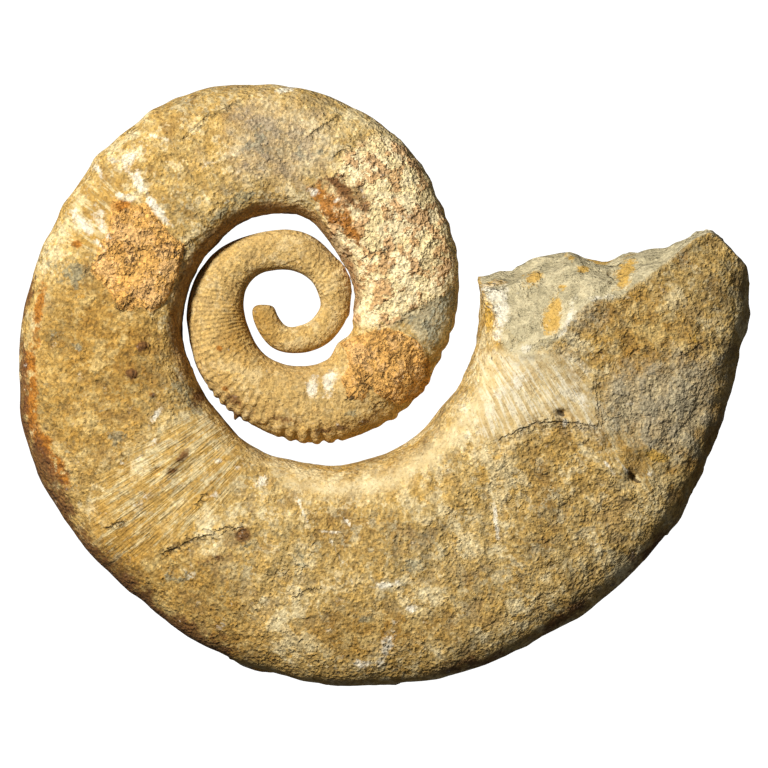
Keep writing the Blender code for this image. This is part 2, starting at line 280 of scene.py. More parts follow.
RUSTY_CRUST_OUTLINES = (
    ((113, 200), (121, 201), (134, 205), (148, 205), (158, 219), (170, 233), (186, 247),
     (180, 262), (174, 282), (166, 300), (152, 312), (136, 306), (131, 313), (118, 309),
     (111, 292), (100, 281), (88, 272), (94, 262), (98, 246), (108, 233), (110, 214)),
    ((341, 344), (352, 338), (362, 334), (384, 328), (402, 332), (415, 340), (424, 352),
     (432, 366), (428, 384), (416, 398), (399, 404), (386, 399), (372, 388), (362, 400),
     (347, 396), (341, 380), (349, 366), (346, 354)),
)
PALE_CRUST_OUTLINE = (
    (372, 132), (400, 140), (425, 170), (444, 205), (455, 250), (456, 286), (436, 300),
    (400, 322), (364, 330), (346, 318), (352, 296), (347, 276), (336, 246), (326, 226),
    (322, 200), (330, 176), (348, 150),
)
GREY_MATRIX_OUTLINES = (
    ((598, 404), (604, 378), (622, 366), (650, 358), (686, 352), (712, 360), (722, 382),
     (718, 420), (700, 452), (676, 466), (652, 452), (632, 440), (618, 432), (604, 428)),
    ((500, 338), (528, 350), (556, 344), (574, 316), (588, 306), (598, 316), (584, 342),
     (566, 358), (536, 364), (508, 358)),
)
BREAK_OUTLINE = (
    (484, 270), (500, 262), (560, 246), (620, 246), (690, 228), (706, 230), (691, 242),
    (666, 265), (645, 282), (628, 292), (622, 300), (586, 304), (576, 313), (566, 326),
    (556, 344), (530, 356), (506, 352), (497, 338), (500, 312), (494, 290), (484, 283),
)
SMOOTH_SHELL_OUTLINE = (
    (486, 356), (512, 350), (546, 354), (570, 364), (588, 384), (598, 412), (596, 432),
    (574, 422), (552, 412), (528, 424), (500, 440), (478, 442), (474, 410),
)
SCRAPED_OUTLINES = (
    ((196, 412), (236, 434), (246, 462), (232, 494), (206, 520), (182, 536), (150, 556),
     (118, 566), (98, 540), (88, 510), (104, 480), (150, 440)),
    ((66, 214), (86, 186), (112, 176), (126, 194), (112, 214), (104, 240), (84, 250), (66, 238)),
    ((600, 430), (618, 427), (640, 448), (662, 482), (650, 492), (628, 474), (612, 460)),
)
LILAC_SHADE_OUTLINE = (
    (232, 104), (270, 100), (322, 118), (334, 140), (328, 168), (300, 186), (262, 178),
    (236, 176), (228, 140),
)
GREY_GREEN_OUTLINE = (
    (416, 276), (456, 284), (458, 320), (444, 352), (424, 346), (398, 328), (380, 318),
    (392, 300),
)
# The inner wall at the bottom of the last whorl, which faces the lamp: its cream is partly pale
# stone, partly painted light.
CREAM_AND_LIT_WALL_OUTLINE = (
    (252, 452), (300, 476), (352, 478), (404, 460), (440, 432), (472, 396), (484, 352),
    (492, 360), (492, 396), (470, 436), (430, 470), (390, 492), (340, 500), (290, 492),
)

# Each kind of patch: its outlines, and how little of it the hidden side carries. Far
# outside every outline the depth is the least one, in mm, and the hidden side's noise
# is as high as the other.
LEAST_DEPTH, HIDDEN_DEPTH = -60.0, 90.0
PATCHES = {
    "rusty_crust": (RUSTY_CRUST_OUTLINES, 44.0),
    "pale_crust": ((PALE_CRUST_OUTLINE,), 44.0),
    "matrix": (GREY_MATRIX_OUTLINES, 50.0),
    "smooth_shell": ((SMOOTH_SHELL_OUTLINE,), 34.0),
    "scraped": (SCRAPED_OUTLINES, 38.0),
    "lilac": ((LILAC_SHADE_OUTLINE,), 30.0),
    "grey_green": ((GREY_GREEN_OUTLINE,), 30.0),
    "cream_and_lit_wall": ((CREAM_AND_LIT_WALL_OUTLINE,), 30.0),
    "fresh_break": ((BREAK_OUTLINE,), 70.0),
}

# Small spots. Rows: column, row, half length, half width, lean in degrees
# anticlockwise, strength.
CALCITE_SPOTS = (
    (139, 184, 13, 5, -54, 1.0), (157, 209, 17, 3.5, -53, 1.0), (84, 224, 14, 5, -50, 0.9),
    (101, 222, 15, 6, -70, 0.8), (122, 196, 10, 3.5, -15, 1.0), (101, 174, 8, 5, -60, 0.8),
    (134, 155, 15, 7, 50, 0.7), (156, 136, 8, 3, -15, 0.9), (284, 90, 8, 3, 10, 0.9),
    (313, 192, 5, 4, 0, 0.9), (337, 200, 4, 2, 20, 1.0), (314, 388, 7.5, 4, 75, 1.4),
    (329, 380, 9.5, 4.5, 75, 1.4), (333, 532, 13, 2.5, -5, 0.9), (384, 585, 13, 3, 5, 0.9),
    (387, 648, 18, 6, 70, 0.8), (362, 663, 10, 4, 0, 0.8), (330, 630, 4, 2, 0, 0.9),
    (411, 609, 5, 3, 0, 0.8), (142, 499, 20, 4, 45, 0.4), (156, 416, 13, 3, 52, 0.5),
    (142, 455, 30, 4, 48, 0.3), (565, 423, 3, 5, 0, 1.0), (497, 294, 10, 7, -10, 1.4),
    (499, 315, 17, 5, 82, 1.4), (575, 390, 26, 6, -52, 0.3), (512, 385, 26, 9, 30, 0.3),
    (238, 468, 5, 3, 0, 0.6), (218, 461, 4, 3, 0, 0.6), (262, 480, 12, 5, 30, 0.4),
    (100, 245, 12, 3, -45, 0.7), (112, 160, 9, 4, -40, 0.6), (214, 495, 5, 4, 0, 0.5),
    (568, 319, 21, 4, 67, 0.6), (599, 298, 24, 3, 4, 0.4), (530, 346, 26, 6, 8, 0.3),
    (341, 560, 20, 1.2, -62, 1.0), (352, 528, 15, 1.0, -50, 0.9), (303, 512, 16, 1.2, -68, 0.9),
    (496, 520, 20, 1.4, -84, 0.9), (610, 470, 22, 1.6, -58, 0.5), (622, 466, 26, 1.4, -56, 0.5),
)
RUST_SPOTS = (
    (38, 318, 48, 6, 82, 0.8), (31, 395, 44, 6, 92, 1.3), (43, 443, 15, 7, -60, 1.3),
    (58, 467, 17, 7, -52, 1.3), (76, 244, 6, 5, 0, 1.0), (330, 205, 30, 14, -45, 0.9),
    (352, 232, 18, 10, -60, 0.9), (318, 192, 12, 8, 0, 0.8), (219, 348, 3, 3, 0, 1.0),
    (226, 388, 3, 3, 0, 1.0), (124, 206, 9, 6, 0, 1.0), (344, 218, 30, 10, -45, 0.8),
)
AMBER_SPOTS = (
    (625, 272, 17, 10, 70, 1.0), (553, 314, 18, 9, 80, 1.0), (533, 280, 12, 8, 0, 0.9),
    (584, 270, 6, 4, 0, 1.0), (563, 287, 5, 4, 0, 0.9), (655, 456, 14, 5, -10, 1.0),
    (600, 258, 12, 3, 0, 0.8), (695, 337, 5, 7, 0, 0.8), (489, 315, 24, 5, 92, 0.9),
    (495, 284, 12, 4, 5, 0.9), (497, 340, 5, 12, 0, 0.7), (571, 258, 8, 3, -30, 0.8),
)
# Dark brown spots: partly stains, partly painted shade along the outer edges that turn away from
# the lamp and on the top inner wall.
UMBER_STAINS_AND_EDGE_SHADE = (
    (50, 506, 36, 14, -56, 1.4), (82, 556, 44, 15, -47, 1.5), (126, 598, 40, 15, -36, 1.4),
    (178, 630, 44, 13, -24, 1.2), (24, 430, 60, 8, -82, 1.2), (40, 462, 28, 12, -62, 1.2),
    (143, 346, 4, 3.5, 0, 1.5), (132, 374, 4, 3.5, 0, 1.5), (655, 565, 74, 20, 54, 0.8),
    (152, 395, 2.5, 2.5, 0, 1.0), (236, 420, 4, 6, 0, 1.3), (240, 404, 26, 8, -35, 0.4),
    (282, 420, 32, 7, -8, 0.4), (330, 430, 28, 6, 12, 0.35), (376, 414, 26, 5, 35, 0.3),
    (22, 392, 80, 5, 90, 0.9), (28, 300, 50, 5, 78, 0.7),
    (345, 190, 30, 12, -48, 0.8), (200, 396, 9, 14, -30, 0.7), (183, 455, 10, 5, 50, 0.8),
    (170, 472, 9, 4, 20, 0.7), (244, 532, 16, 10, 60, 0.7), (214, 558, 18, 6, 10, 0.6),
    (480, 660, 50, 14, 12, 0.5), (560, 620, 40, 12, 35, 0.5), (66, 470, 10, 5, -60, 0.7),
)
SLATE_SPOTS = (
    (66, 273, 24, 15, -30, 0.9), (319, 154, 8, 6, 0, 1.0), (190, 398, 34, 16, -55, 0.7),
    (196, 236, 10, 9, 0, 0.9), (220, 215, 16, 6, 40, 0.8), (243, 197, 12, 8, 0, 0.9),
    (262, 140, 20, 18, 0, 0.6), (290, 150, 16, 12, 0, 0.6), (180, 164, 10, 7, 0, 0.6),
    (175, 578, 14, 9, 0, 0.6), (222, 596, 16, 8, 10, 0.6), (300, 560, 18, 14, 40, 0.5),
    (75, 345, 8, 4, -20, 0.7), (50, 385, 8, 3, 0, 0.7), (95, 411, 22, 3, 15, 0.7),
    (66, 448, 10, 4, -20, 0.8), (104, 468, 14, 6, 10, 0.6), (60, 330, 14, 10, 0, 0.5),
    (420, 560, 26, 14, 20, 0.5), (118, 440, 20, 12, 60, 0.6), (245, 545, 12, 8, 0, 0.6),
    (160, 180, 20, 8, 30, 0.5), (352, 412, 12, 6, 10, 0.6), (360, 620, 24, 12, 0, 0.4),
)
OCHRE_WASHES = (
    (92, 372, 78, 112, 0, 1.0), (170, 590, 120, 52, -34, 1.0), (380, 632, 150, 44, 6, 0.6),
    (250, 330, 60, 70, 0, 0.6), (672, 400, 130, 60, -72, 1.0),
)
# Near-black painted shade inside holes and vesicles.
HOLE_SHADE_SPOTS = (
    (561, 413, 5, 3, -15, 1.0), (566, 415, 4, 2, 40, 1.0), (633, 476, 6, 3, -40, 1.0),
    (638, 481, 6, 3, -35, 1.0), (602, 353, 3, 2, 0, 1.0), (172, 550, 9, 2, 22, 1.0),
    (156, 468, 4, 2, 30, 0.8), (490, 358, 2, 2, 0, 0.9), (496, 363, 3, 1, 0, 0.9),
    (502, 357, 2, 1, 0, 0.8), (487, 350, 2, 1, 0, 0.8), (509, 362, 2, 1, 0, 0.9),
    (516, 366, 2, 1, 0, 0.8), (529, 352, 2, 1, 0, 0.7), (120, 524, 4, 1.5, 5, 0.9),
    (147, 205, 3, 1.5, 0, 0.6), (352, 398, 4, 2, 30, 0.9), (366, 384, 4, 2, 45, 0.8),
    (394, 370, 4, 2, 0, 0.6), (596, 598, 3, 2, 0, 0.7), (660, 488, 5, 2, -50, 0.8),
)
# Each kind of spot: its rows, then the size in mm of the spots on the hidden side,
# and how little of it that side carries.
HIDDEN_SPOT_STRENGTH = 5.0
SPOTS = {
    "ochre_wash": (OCHRE_WASHES, 60.0, 1.0), "hole": (HOLE_SHADE_SPOTS, 6.0, 2.9),
    "calcite": (CALCITE_SPOTS, 16.0, 2.2), "rust": (RUST_SPOTS, 30.0, 2.3),
    "amber": (AMBER_SPOTS, 20.0, 2.4), "umber": (UMBER_STAINS_AND_EDGE_SHADE, 30.0, 1.9),
    "slate": (SLATE_SPOTS, 24.0, 2.1),
}

# Holes and dents, and knobs where the depth is below nought. Rows: column, row, half
# length, half width, lean, depth in mm.
HOLLOWS = (
    (563, 414, 7, 5, -15, 4.0), (635, 478, 9, 6, -38, 5.0), (602, 353, 4, 3, 0, 2.0),
    (156, 472, 6, 5, 0, 2.5), (182, 471, 17, 10, 45, 2.0), (200, 546, 20, 12, 10, 1.2),
    (107, 268, 16, 18, 0, 1.2), (123, 297, 12, 13, 0, -1.8), (236, 418, 3, 4, 0, -3.6),
    (262, 419, 7, 5, 0, -1.8), (284, 424, 7, 5, 0, -1.5), (216, 404, 5, 5, 0, -1.5),
    (310, 426, 6, 5, 0, -1.5), (602, 437, 9, 5, 60, -1.8), (172, 552, 10, 4, 22, 1.5),
    (143, 346, 5, 4, 0, -2.4), (132, 374, 5, 4, 0, -2.4), (152, 395, 4, 4, 0, -1.8),
    (622, 500, 20, 5, 18, -1.4),
)

# Cracks and small ledges: how marked each is, then the line that it follows.
CRACKS = (
    (1.0, ((503, 438), (520, 430), (540, 424), (552, 422), (575, 424), (599, 430))),
    (0.6, ((598, 432), (600, 420), (597, 400), (596, 378))),
    (0.5, ((604, 507), (616, 500), (631, 495))),
    (1.0, ((683, 354), (695, 350), (703, 344))),
    (0.9, ((631, 355), (640, 350), (648, 349))),
    (0.7, ((184, 137), (203, 120), (225, 108), (246, 97))),
    (0.7, ((311, 135), (325, 126), (338, 117))),
    (0.9, ((337, 154), (342, 151), (347, 150))),
    (1.0, ((128, 135), (135, 132))),
    (0.9, ((164, 553), (172, 550), (179, 547))),
    (0.8, ((109, 526), (116, 524), (123, 523))),
    (0.9, ((199, 504), (204, 496))),
    (0.7, ((182, 545), (200, 538), (217, 535))),
    (0.7, ((214, 532), (228, 529), (242, 527))),
    (0.4, ((310, 513), (312, 538), (308, 560), (295, 572), (270, 576))),
    (0.8, ((296, 596), (306, 591), (318, 589))),
    (1.0, ((134, 257), (139, 252), (144, 251))),
    (1.0, ((176, 256), (184, 248), (190, 243))),
    (1.0, ((88, 271), (95, 262), (101, 257))),
    (1.0, ((119, 308), (127, 303), (132, 294))),
    (0.9, ((423, 262), (425, 253), (428, 245))),
    (0.9, ((366, 257), (375, 254), (385, 250))),
    (1.0, ((349, 399), (358, 392), (368, 384))),
    (1.0, ((360, 388), (370, 378))),
    (1.0, ((375, 407), (390, 400))),
    (1.0, ((489, 288), (497, 286), (505, 284))),
    (1.0, ((487, 305), (494, 312))),
)
# Values worked out from others, in order: result, operation, then what goes in, each
# a name or a number. SMOOTHSTEP and LINEAR read how far a value has come between two
# others. The signed distance to a crack, in mm, is bent by two patterns; the ledge
# beside it rises over 1 mm, and its dark line is as wide as the pebble pattern lets
# it be. A fissure is a contour of the patch pattern. Fine ribs are a sine of their
# running number.
LINE_STEPS = (
    ("bend", "MULTIPLY_ADD", "mottle", 9.0, "crack_side"),
    ("bend", "SUBTRACT", "bend", 4.5),
    ("bend", "MULTIPLY_ADD", "patch", 3.0, "bend"),
    ("bend", "SUBTRACT", "bend", 1.5),
    ("ledge", "LINEAR", "bend", -0.5, 0.5),
    ("far", "ABSOLUTE", "bend"),
    ("width", "MULTIPLY_ADD", "pebble", 5.0, -2.0),
    ("width", "MULTIPLY", "width", "crack_near"),
    ("crack", "SMOOTHSTEP", "far", "width", 0.1),
    ("crack", "MULTIPLY", "crack", "crack_near"),
    ("fissure", "SUBTRACT", "patch", 0.46),
    ("fissure", "ABSOLUTE", "fissure"),
    ("fissure", "LINEAR", "fissure", 0.022, 0.0),
    ("ribs", "MULTIPLY_ADD", "patch", 0.35, "rib_number"),
    ("ribs", "MULTIPLY", "ribs", FULL_TURN),
    ("ribs", "SINE", "ribs"),
)

# ------------------------------------------------------------ the stone's finish

STONE_ROUGHNESS, STONE_IOR, STONE_GLOSS = 0.88, 1.5, 0.35

# Noise patterns, each shifted and turned from the one before. Rows: name, size in mm,
# octaves, roughness.
PATTERN_SHIFT, PATTERN_TURN = (3.1, 1.7, 5.3), (0.4, 0.7, 0.0)
PATTERNS = (
    ("drift", 95.0, 3.0, 0.55), ("blotch", 40.0, 3.0, 0.62), ("mottle", 15.0, 4.0, 0.64),
    ("mottle_b", 11.0, 4.0, 0.64), ("patch", 5.0, 3.0, 0.66), ("lump", 6.5, 1.0, 0.50),
    ("pebble", 2.4, 1.0, 0.45), ("speck", 1.7, 1.0, 0.60), ("edge", 11.0, 4.0, 0.75),
)
# Noise drawn out along the growth lines. Rows: name, size across and along the
# lines in mm, octaves, roughness.
GROWTH_PATTERNS = (
    ("lirae", 1.1, 18.0, 2.0, 0.60), ("streaks", 3.4, 26.0, 4.0, 0.66),
    ("bands", 8.0, 60.0, 4.0, 0.60),
)
# Cell patterns, their edges bent by the noise patterns. Rows: name, size in mm, how
# far the edges are bent, and what is read: the distance to the middle of the cell,
# or the cell's own random shade.
CELLS = (
    ("pits", 3.5, 12.0, "Distance"), ("sand", 1.5, 0.0, "Color"),
    ("chips", 9.0, 34.0, "Color"), ("flakes", 3.6, 22.0, "Color"),
)

# The stone's tone: shades from dark to pale, chosen by a weighted sum of patterns.
# The mottle pattern also raises the relief, so the tone is darker in its hollows:
# partly the stone's own colour, partly painted shade. Rows: place, shade; pattern,
# its middle value, weight.
TONE_STOPS = (
    (0.00, "#6A5030"), (0.30, "#A68142"), (0.47, "#C29E58"), (0.60, "#D3B474"),
    (0.76, "#E8D29C"), (1.00, "#F8ECCC"),
)
TONE_WEIGHTS = (
    ("drift", 0.5, 0.5), ("blotch", 0.5, 0.5), ("mottle", 0.5, 0.65), ("patch", 0.5, 0.55),
    ("streaks", 0.5, 0.28), ("bands", 0.5, 0.36),
)

# The grains' tone and painted shade, which every colour is multiplied by. Sand is
# the grains' own tone; pebble and flakes are also the relief's patterns, so they
# paint shade in its hollows and light on its tops. Rows: pattern, its middle value,
# weight.
GRAIN_TONE_AND_SHADE_WEIGHTS = (("sand", 0.5, 0.85), ("pebble", 0.5, 0.85), ("flakes", 0.5, 0.14))

# Colour layers, first laid first: blend, colour or the name of a user's colour,
# limits, strength. A limit is a source, the raggedness added to it, and the values
# where the layer starts and is full.
USER_COLOURS = {
    "rusty_crust": "#E2A856", "pale_crust": "#F6DCA0", "fresh_break": "#BDAF86",
    "calcite": "#F6ECD2",
}
COLOUR_LAYERS = (
    ("MIX", "#CC9C40", (("mottle_b", 0, 0.51, 0.56), ("blotch", 0, 0.42, 0.56)), 0.38),
    ("MIX", "#EAD8AA", (("mottle_b", 0, 0.45, 0.41), ("patch", 0, 0.44, 0.52)), 0.40),
    ("MIX", "#A08C68", (("mottle", 0, 0.45, 0.41), ("drift", 0, 0.44, 0.56)), 0.35),
    ("MIX", "#9C9272", (("blotch", 0, 0.47, 0.40), ("patch", 0, 0.47, 0.53)), 0.32),
    ("MIX", "#98895E", (("bands", 0, 0.46, 0.38), ("drift", 0, 0.44, 0.52)), 0.28),
    ("MIX", "#EEDCAC", (("blotch", 0, 0.51, 0.58), ("mottle", 0, 0.47, 0.53)), 0.42),
    ("MIX", "#D4AE6A", (("inner_whorl", 0, 0.2, 0.8),), 0.50),
    ("MULTIPLY", "#DFCFA6", (("ochre_wash", 0.6, -0.1, 0.4),), 0.90),
    ("MIX", "#BCA888", (("lilac", 44, -12, 12),), 0.42),
    ("MIX", "#8F8678", (("lilac", 44, -4, 16), ("mottle_b", 0, 0.50, 0.56)), 0.40),
    ("MIX", "#C8BE9A", (("grey_green", 30, -5, 8),), 0.60),
    ("MIX", "#8F907C", (("grey_green", 30, -5, 8), ("mottle_b", 0, 0.50, 0.55)), 0.55),
    # Cream on the wall that faces the lamp: partly pale stone, partly painted light.
    ("MIX", "#E9D5A4", (("cream_and_lit_wall", 34, -8, 10),), 0.55),
    ("MIX", "#E8D3A0", (("smooth_shell", 70, -16, 18),), 0.70),
    ("MIX", "#C79843", (("scraped", 30, -6, 6), ("streaks", 0, 0.50, 0.46)), 0.42),
    ("MIX", "#EEDCA8", (("scraped", 30, -6, 6), ("streaks", 0, 0.53, 0.57)), 0.44),
    ("MIX", "#F6EACA", (("smooth_shell", 70, -12, 18), ("streaks", 0, 0.50, 0.54)), 0.65),
    ("MIX", "#CBA668", (("smooth_shell", 70, -12, 18), ("streaks", 0, 0.47, 0.43)), 0.50),
    ("MIX", "rusty_crust", (("rusty_crust", 11, -0.6, 0.4),), 0.85),
    ("MIX", "#E6B676", (("rusty_crust", 16, 1, 4), ("mottle", 0, 0.49, 0.53)), 0.60),
    ("MIX", "#C48A40", (("rusty_crust", 16, 0, 2), ("mottle_b", 0, 0.55, 0.59)), 0.38),
    ("MIX", "pale_crust", (("pale_crust", 26, -2, 3),), 0.85),
    ("MIX", "#FFE8B4", (("pale_crust", 26, 0, 6), ("mottle", 0, 0.47, 0.53)), 0.76),
    ("MIX", "#CC9458", (("pale_crust", 26, -1, 4), ("mottle_b", 0, 0.49, 0.56)), 0.70),
    ("MIX", "#CFC19A", (("matrix", 60, -10, 16),), 0.60),
    ("MIX", "#A09882", (("matrix", 60, -6, 14), ("mottle", 0, 0.51, 0.55)), 0.42),
    ("MIX", "#C6BC9C", (("broken_end", 0, 0.4, 0.6),), 0.75),
    ("MIX", "fresh_break", (("fresh_break", 10, -2, 3),), 0.78),
    ("MIX", "#DDCDA2", (("fresh_break", 14, -2, 3), ("mottle", 0, 0.48, 0.53)), 0.60),
    ("MIX", "#978B68", (("fresh_break", 14, 0, 4), ("mottle_b", 0, 0.55, 0.58)), 0.45),
    ("MIX", "#A86612", (("rust", 3.4, -0.2, 0.5), ("mottle_b", 0, 0.35, 0.45)), 0.90),
    ("MIX", "#D6A640", (("amber", 3.4, -0.15, 0.35),), 0.80),
    ("MIX", "#88876E", (("slate", 4.4, -0.1, 0.5), ("mottle_b", 0, 0.47, 0.52)), 0.60),
    # Umber: partly stains, partly painted shade on the edges turned from the lamp.
    ("MULTIPLY", "#A08460", (("umber", 3.4, -0.4, 0.6),), 0.95),
    ("MIX", "#76502A", (("umber", 4.0, -0.2, 0.6), ("mottle_b", 0, 0.38, 0.50)), 0.70),
    # Brown on the inner wall of the last whorl's top and left, which faces away from the lamp:
    # partly a stain, partly painted shade.
    ("MIX", "#86572A", (("inner_wall_stain_and_shade", 0.5, 0.25, 0.65),), 0.60),
    ("MULTIPLY", "#9A7C58", (("speck", 0, 0.60, 0.68),), 0.35),
    ("MIX", "calcite", (("calcite", 5.0, -0.4, 0.6),), 0.74),
    # Painted shade at the middles of the pit cells, which the relief sinks on most stone.
    ("MULTIPLY", "#9A7A54", (("pits", 0, 0.26, 0.12), ("patch", 0, 0.48, 0.54)), 0.50),
    ("MULTIPLY", "#6E4A2A", (
        ("rusty_crust", 0, -0.5, 0.5), ("fissure", 0, 0.2, 0.8), ("mottle_b", 0, 0.47, 0.52)),
     0.62),
    # Painted shade inside the holes.
    ("MIX", "#2A1C10", (("hole", 2.4, 0.0, 0.3),), 0.85),
    ("MIX", "#4A3620", (("crack", 0, 0.2, 0.9),), 0.42),
)

# Fine relief that is stored on the surface. Rows: pattern, its middle value, and its
# height in mm on plain stone, then what is added to that on the rough end, on the
# rusty crust, on the pale crust, on the inner whorls, where the shell is scraped,
# where it is smooth, and on the break.
RELIEF_AMOUNTS = (
    ("mottle", 0.50, (1.7, 3.6, 0.6, 0.0, 0.4, -0.8, -0.8, 1.0)),
    ("lump", 0.50, (0.5, -0.15, 1.0, 0.7, -0.2, -0.3, -0.3, 0.0)),
    ("pebble", 0.50, (1.2, -0.2, 0.8, 0.4, -0.5, -0.8, -0.8, -0.7)),
    ("chips", 0.50, (0.25, 0.6, 0.4, 0.2, -0.1, -0.1, -0.1, 0.5)),
    ("flakes", 0.50, (0.20, 0.0, 0.45, 0.2, 0.1, 0.0, -0.1, 0.0)),
    ("pits", 0.45, (0.20, 0.0, -1.1, 0.7, 0.5, 0.0, 0.0, 0.0)),
    ("lirae", 0.50, (0.22, -0.2, -0.2, -0.2, -0.2, 1.3, 1.2, -0.2)),
    ("plate", 0.00, (0.20, 0.0, 0.4, 0.3, 0.0, -0.2, -0.2, 0.2)),
    # The grain row is no height: it is how strongly the grains' tone and painted shade change the
    # colour.
    ("grain", 0.00, (1.0, 0.0, 0.1, 0.0, -0.25, -0.35, -0.6, -0.6)),
)

# The share of the plain relief that smooth stone lacks, and the share of the rough
# end's relief that the break lacks.
SMOOTHNESS, BREAK_SMOOTHNESS = 0.7, 0.7

# Further fine relief. Rows: pattern, how much of it is added (mm, or a share of what
# is stored for the pattern), limits of where it is.
HEIGHT_LAYERS = (
    ("lump", 1.5, (("mottle_b", 0, 0.46, 0.56),)),
    ("pebble", 0.8, (("mottle_b", 0, 0.46, 0.56),)),
    ("plate", 1.0, (("mottle_b", 0, 0.48, 0.55),)),
    ("plate", -0.9, (("mottle", 0, 0.47, 0.41),)),
    ("ribs", 0.26, (("rib_strength", 0, 0.0, 1.0),)),
    ("fissure", -1.6, (("rusty_crust", 0, -0.5, 1.0), ("mottle_b", 0, 0.47, 0.52))),
    ("ledge", 0.8, (("crack_near", 0, 0.0, 1.0),)),
    ("crack", -0.7, ()),
)

# The values stored on the surface that the finish reads, three to an attribute.
FIELDS = (
    *PATCHES, *SPOTS, "crack_side", "crack_near", "broken_end", "inner_whorl",
    "rib_number", "rib_strength", "inner_wall_stain_and_shade",
    *("relief_" + row[0] for row in RELIEF_AMOUNTS),
)
PACK_NAME = "stone_%d"

# How many pixels or texels the slope of the relief is measured over.
RELIEF_SPAN = 0.8

# ----------------------------------------------------------------- the stage

PIECE = "fossil_coil"
SENSOR_WIDTH, CAMERA_REACH = 36.0, 20.0
FLOOR_HALF_SIZE = 6.0
FLOOR_GLOW = 1.15
KEY_STRENGTH, KEY_SIZE, KEY_COLOUR = 91.0, 0.36, "#FFFFFF"
KEY_DIRECTION, KEY_LIFT, KEY_DISTANCE = 140.0, 49.0, 2.6
FILL_STRENGTH, ROOM_COLOUR = 0.09, "#F2F4F8"


# ------------------------------------------------------------ shared arithmetic

# Large odd numbers and shifts that scramble whole numbers of 32 bits.
CELL_FACTORS, SEED_FACTOR = (0x9E3779B1, 0x85EBCA77, 0xC2B2AE3D), 0x27D4EB2F
MIX_ROUNDS, LAST_SHIFT = ((15, 0x2C1B3C6D), (12, 0x297A2D39), (15, 0x1B873593)), 16
LARGEST = 0xFFFFFFFF
TINY = 1e-9


def linear(hex_colour):
    """An sRGB hex value as the linear colour that a shader works in."""
    parts = [int(hex_colour[i:i + 2], 16) / 255 for i in (1, 3, 5)]
    return [c / 12.92 if c <= 0.04045 else ((c + 0.055) / 1.055) ** 2.4 for c in parts]


def smooth_curve(at, rows, column):
    """A curve through the rows' points: each gap is a cubic whose end slopes are
    the mean slopes of the gaps beside it."""
    xs = np.array([row[0] for row in rows], dtype=float)
    ys = np.array([row[column] for row in rows], dtype=float)
    slopes = np.gradient(ys, xs)
    i = np.clip(np.searchsorted(xs, at) - 1, 0, len(xs) - 2)
    gap = xs[i + 1] - xs[i]
    t = np.clip((at - xs[i]) / gap, 0.0, 1.0)
    rise = t * t * (3 - 2 * t)
    leave = t * (1 - t) ** 2 * gap * slopes[i]
    arrive = t * t * (t - 1) * gap * slopes[i + 1]
    return (1 - rise) * ys[i] + leave + rise * ys[i + 1] + arrive


def straight_curve(at, rows):
    """Straight runs between the rows' points."""
    return np.interp(at, [row[0] for row in rows], [row[1] for row in rows])


def smooth_step(value, low, high):
    """0 below low, 1 above high, an S-curve between."""
    t = np.clip((value - low) / (high - low), 0.0, 1.0)
    return t * t * (3 - 2 * t)


def fade(value, span):
    """How far a thing has faded in over its named span, 0 to 1."""
    return smooth_step(value, *SPANS[span])


def scrambled(cells, seed):
    """A repeatable number from 0 to 1 for each whole-numbered cell: the counts and
    the seed times large odd numbers, folded together by exclusive or."""
    mix = np.uint32(seed * SEED_FACTOR & LARGEST)
    with np.errstate(over="ignore"):
        for k, factor in enumerate(CELL_FACTORS):
            mix = mix ^ cells[..., k].astype(np.uint32) * np.uint32(factor)
        for shift, factor in MIX_ROUNDS:
            mix ^= mix >> np.uint32(shift)
            mix *= np.uint32(factor)
        mix ^= mix >> np.uint32(LAST_SHIFT)
    return mix.astype(float) / LARGEST


def noise(points, size, seed):
    """Smooth noise from -1 to 1: random values on a lattice this many millimetres
    apart, blended between the eight corners round each point."""
    place = points / size + SEED_SHIFT * seed
    cell = np.floor(place).astype(np.int64)
    part = place - cell
    part = part ** 3 * (part * (part * 6 - 15) + 10)
    total = np.zeros(points.shape[:-1])
    for corner in np.ndindex(2, 2, 2):
        weight = np.prod(np.where(np.array(corner) == 1, part, 1 - part), axis=-1)
        total += weight * scrambled(cell + np.array(corner), seed)
    return 2 * total - 1


def fractal(points, name, own_size=None, own_seed=0):
    """The named noise summed over its octaves, each half as large and half as strong
    as the last, and turned so that the lattices don't line up."""
    size, octaves, seed = NOISES[name]
    size = own_size or size
    turn = Matrix.Rotation(OCTAVE_TILTS[0], 3, "X") @ Matrix.Rotation(OCTAVE_TILTS[1], 3, "Y")
    total, strength, reach = 0.0, 1.0, 0.0
    for octave in range(octaves):
        total = total + strength * noise(points, size, seed + own_seed + octave)
        reach += strength
        points, size, strength = points @ np.array(turn), size / 2, strength / 2
    return total / reach


def nearest_seed(points, size, seed):
    """The random number of the nearest of one random seed point in each cell of a
    lattice this many millimetres apart."""
    place = points / size
    cell = np.floor(place).astype(np.int64)
    least = np.full(points.shape[:-1], np.inf)
    own = np.zeros(points.shape[:-1])
    for step in np.ndindex(3, 3, 3):
        other = cell + np.array(step) - 1
        shift = np.stack([scrambled(other, seed + k) for k in range(3)], axis=-1)
        gap = np.linalg.norm(other + shift - place, axis=-1)
        own = np.where(gap < least, scrambled(other, seed + 3), own)
        least = np.minimum(least, gap)
    return own


# --------------------------------------------------------- the coil's bare form

def tip_scale(turn):
    """How far the tube has opened behind its blunt rounded tip, 0 to 1."""
    back = np.clip((TIP_TURN + TIP_ROUNDING_TURN - turn) / TIP_ROUNDING_TURN, 0.0, 1.0)
    return (1 - back ** 3) ** (1 / 3)


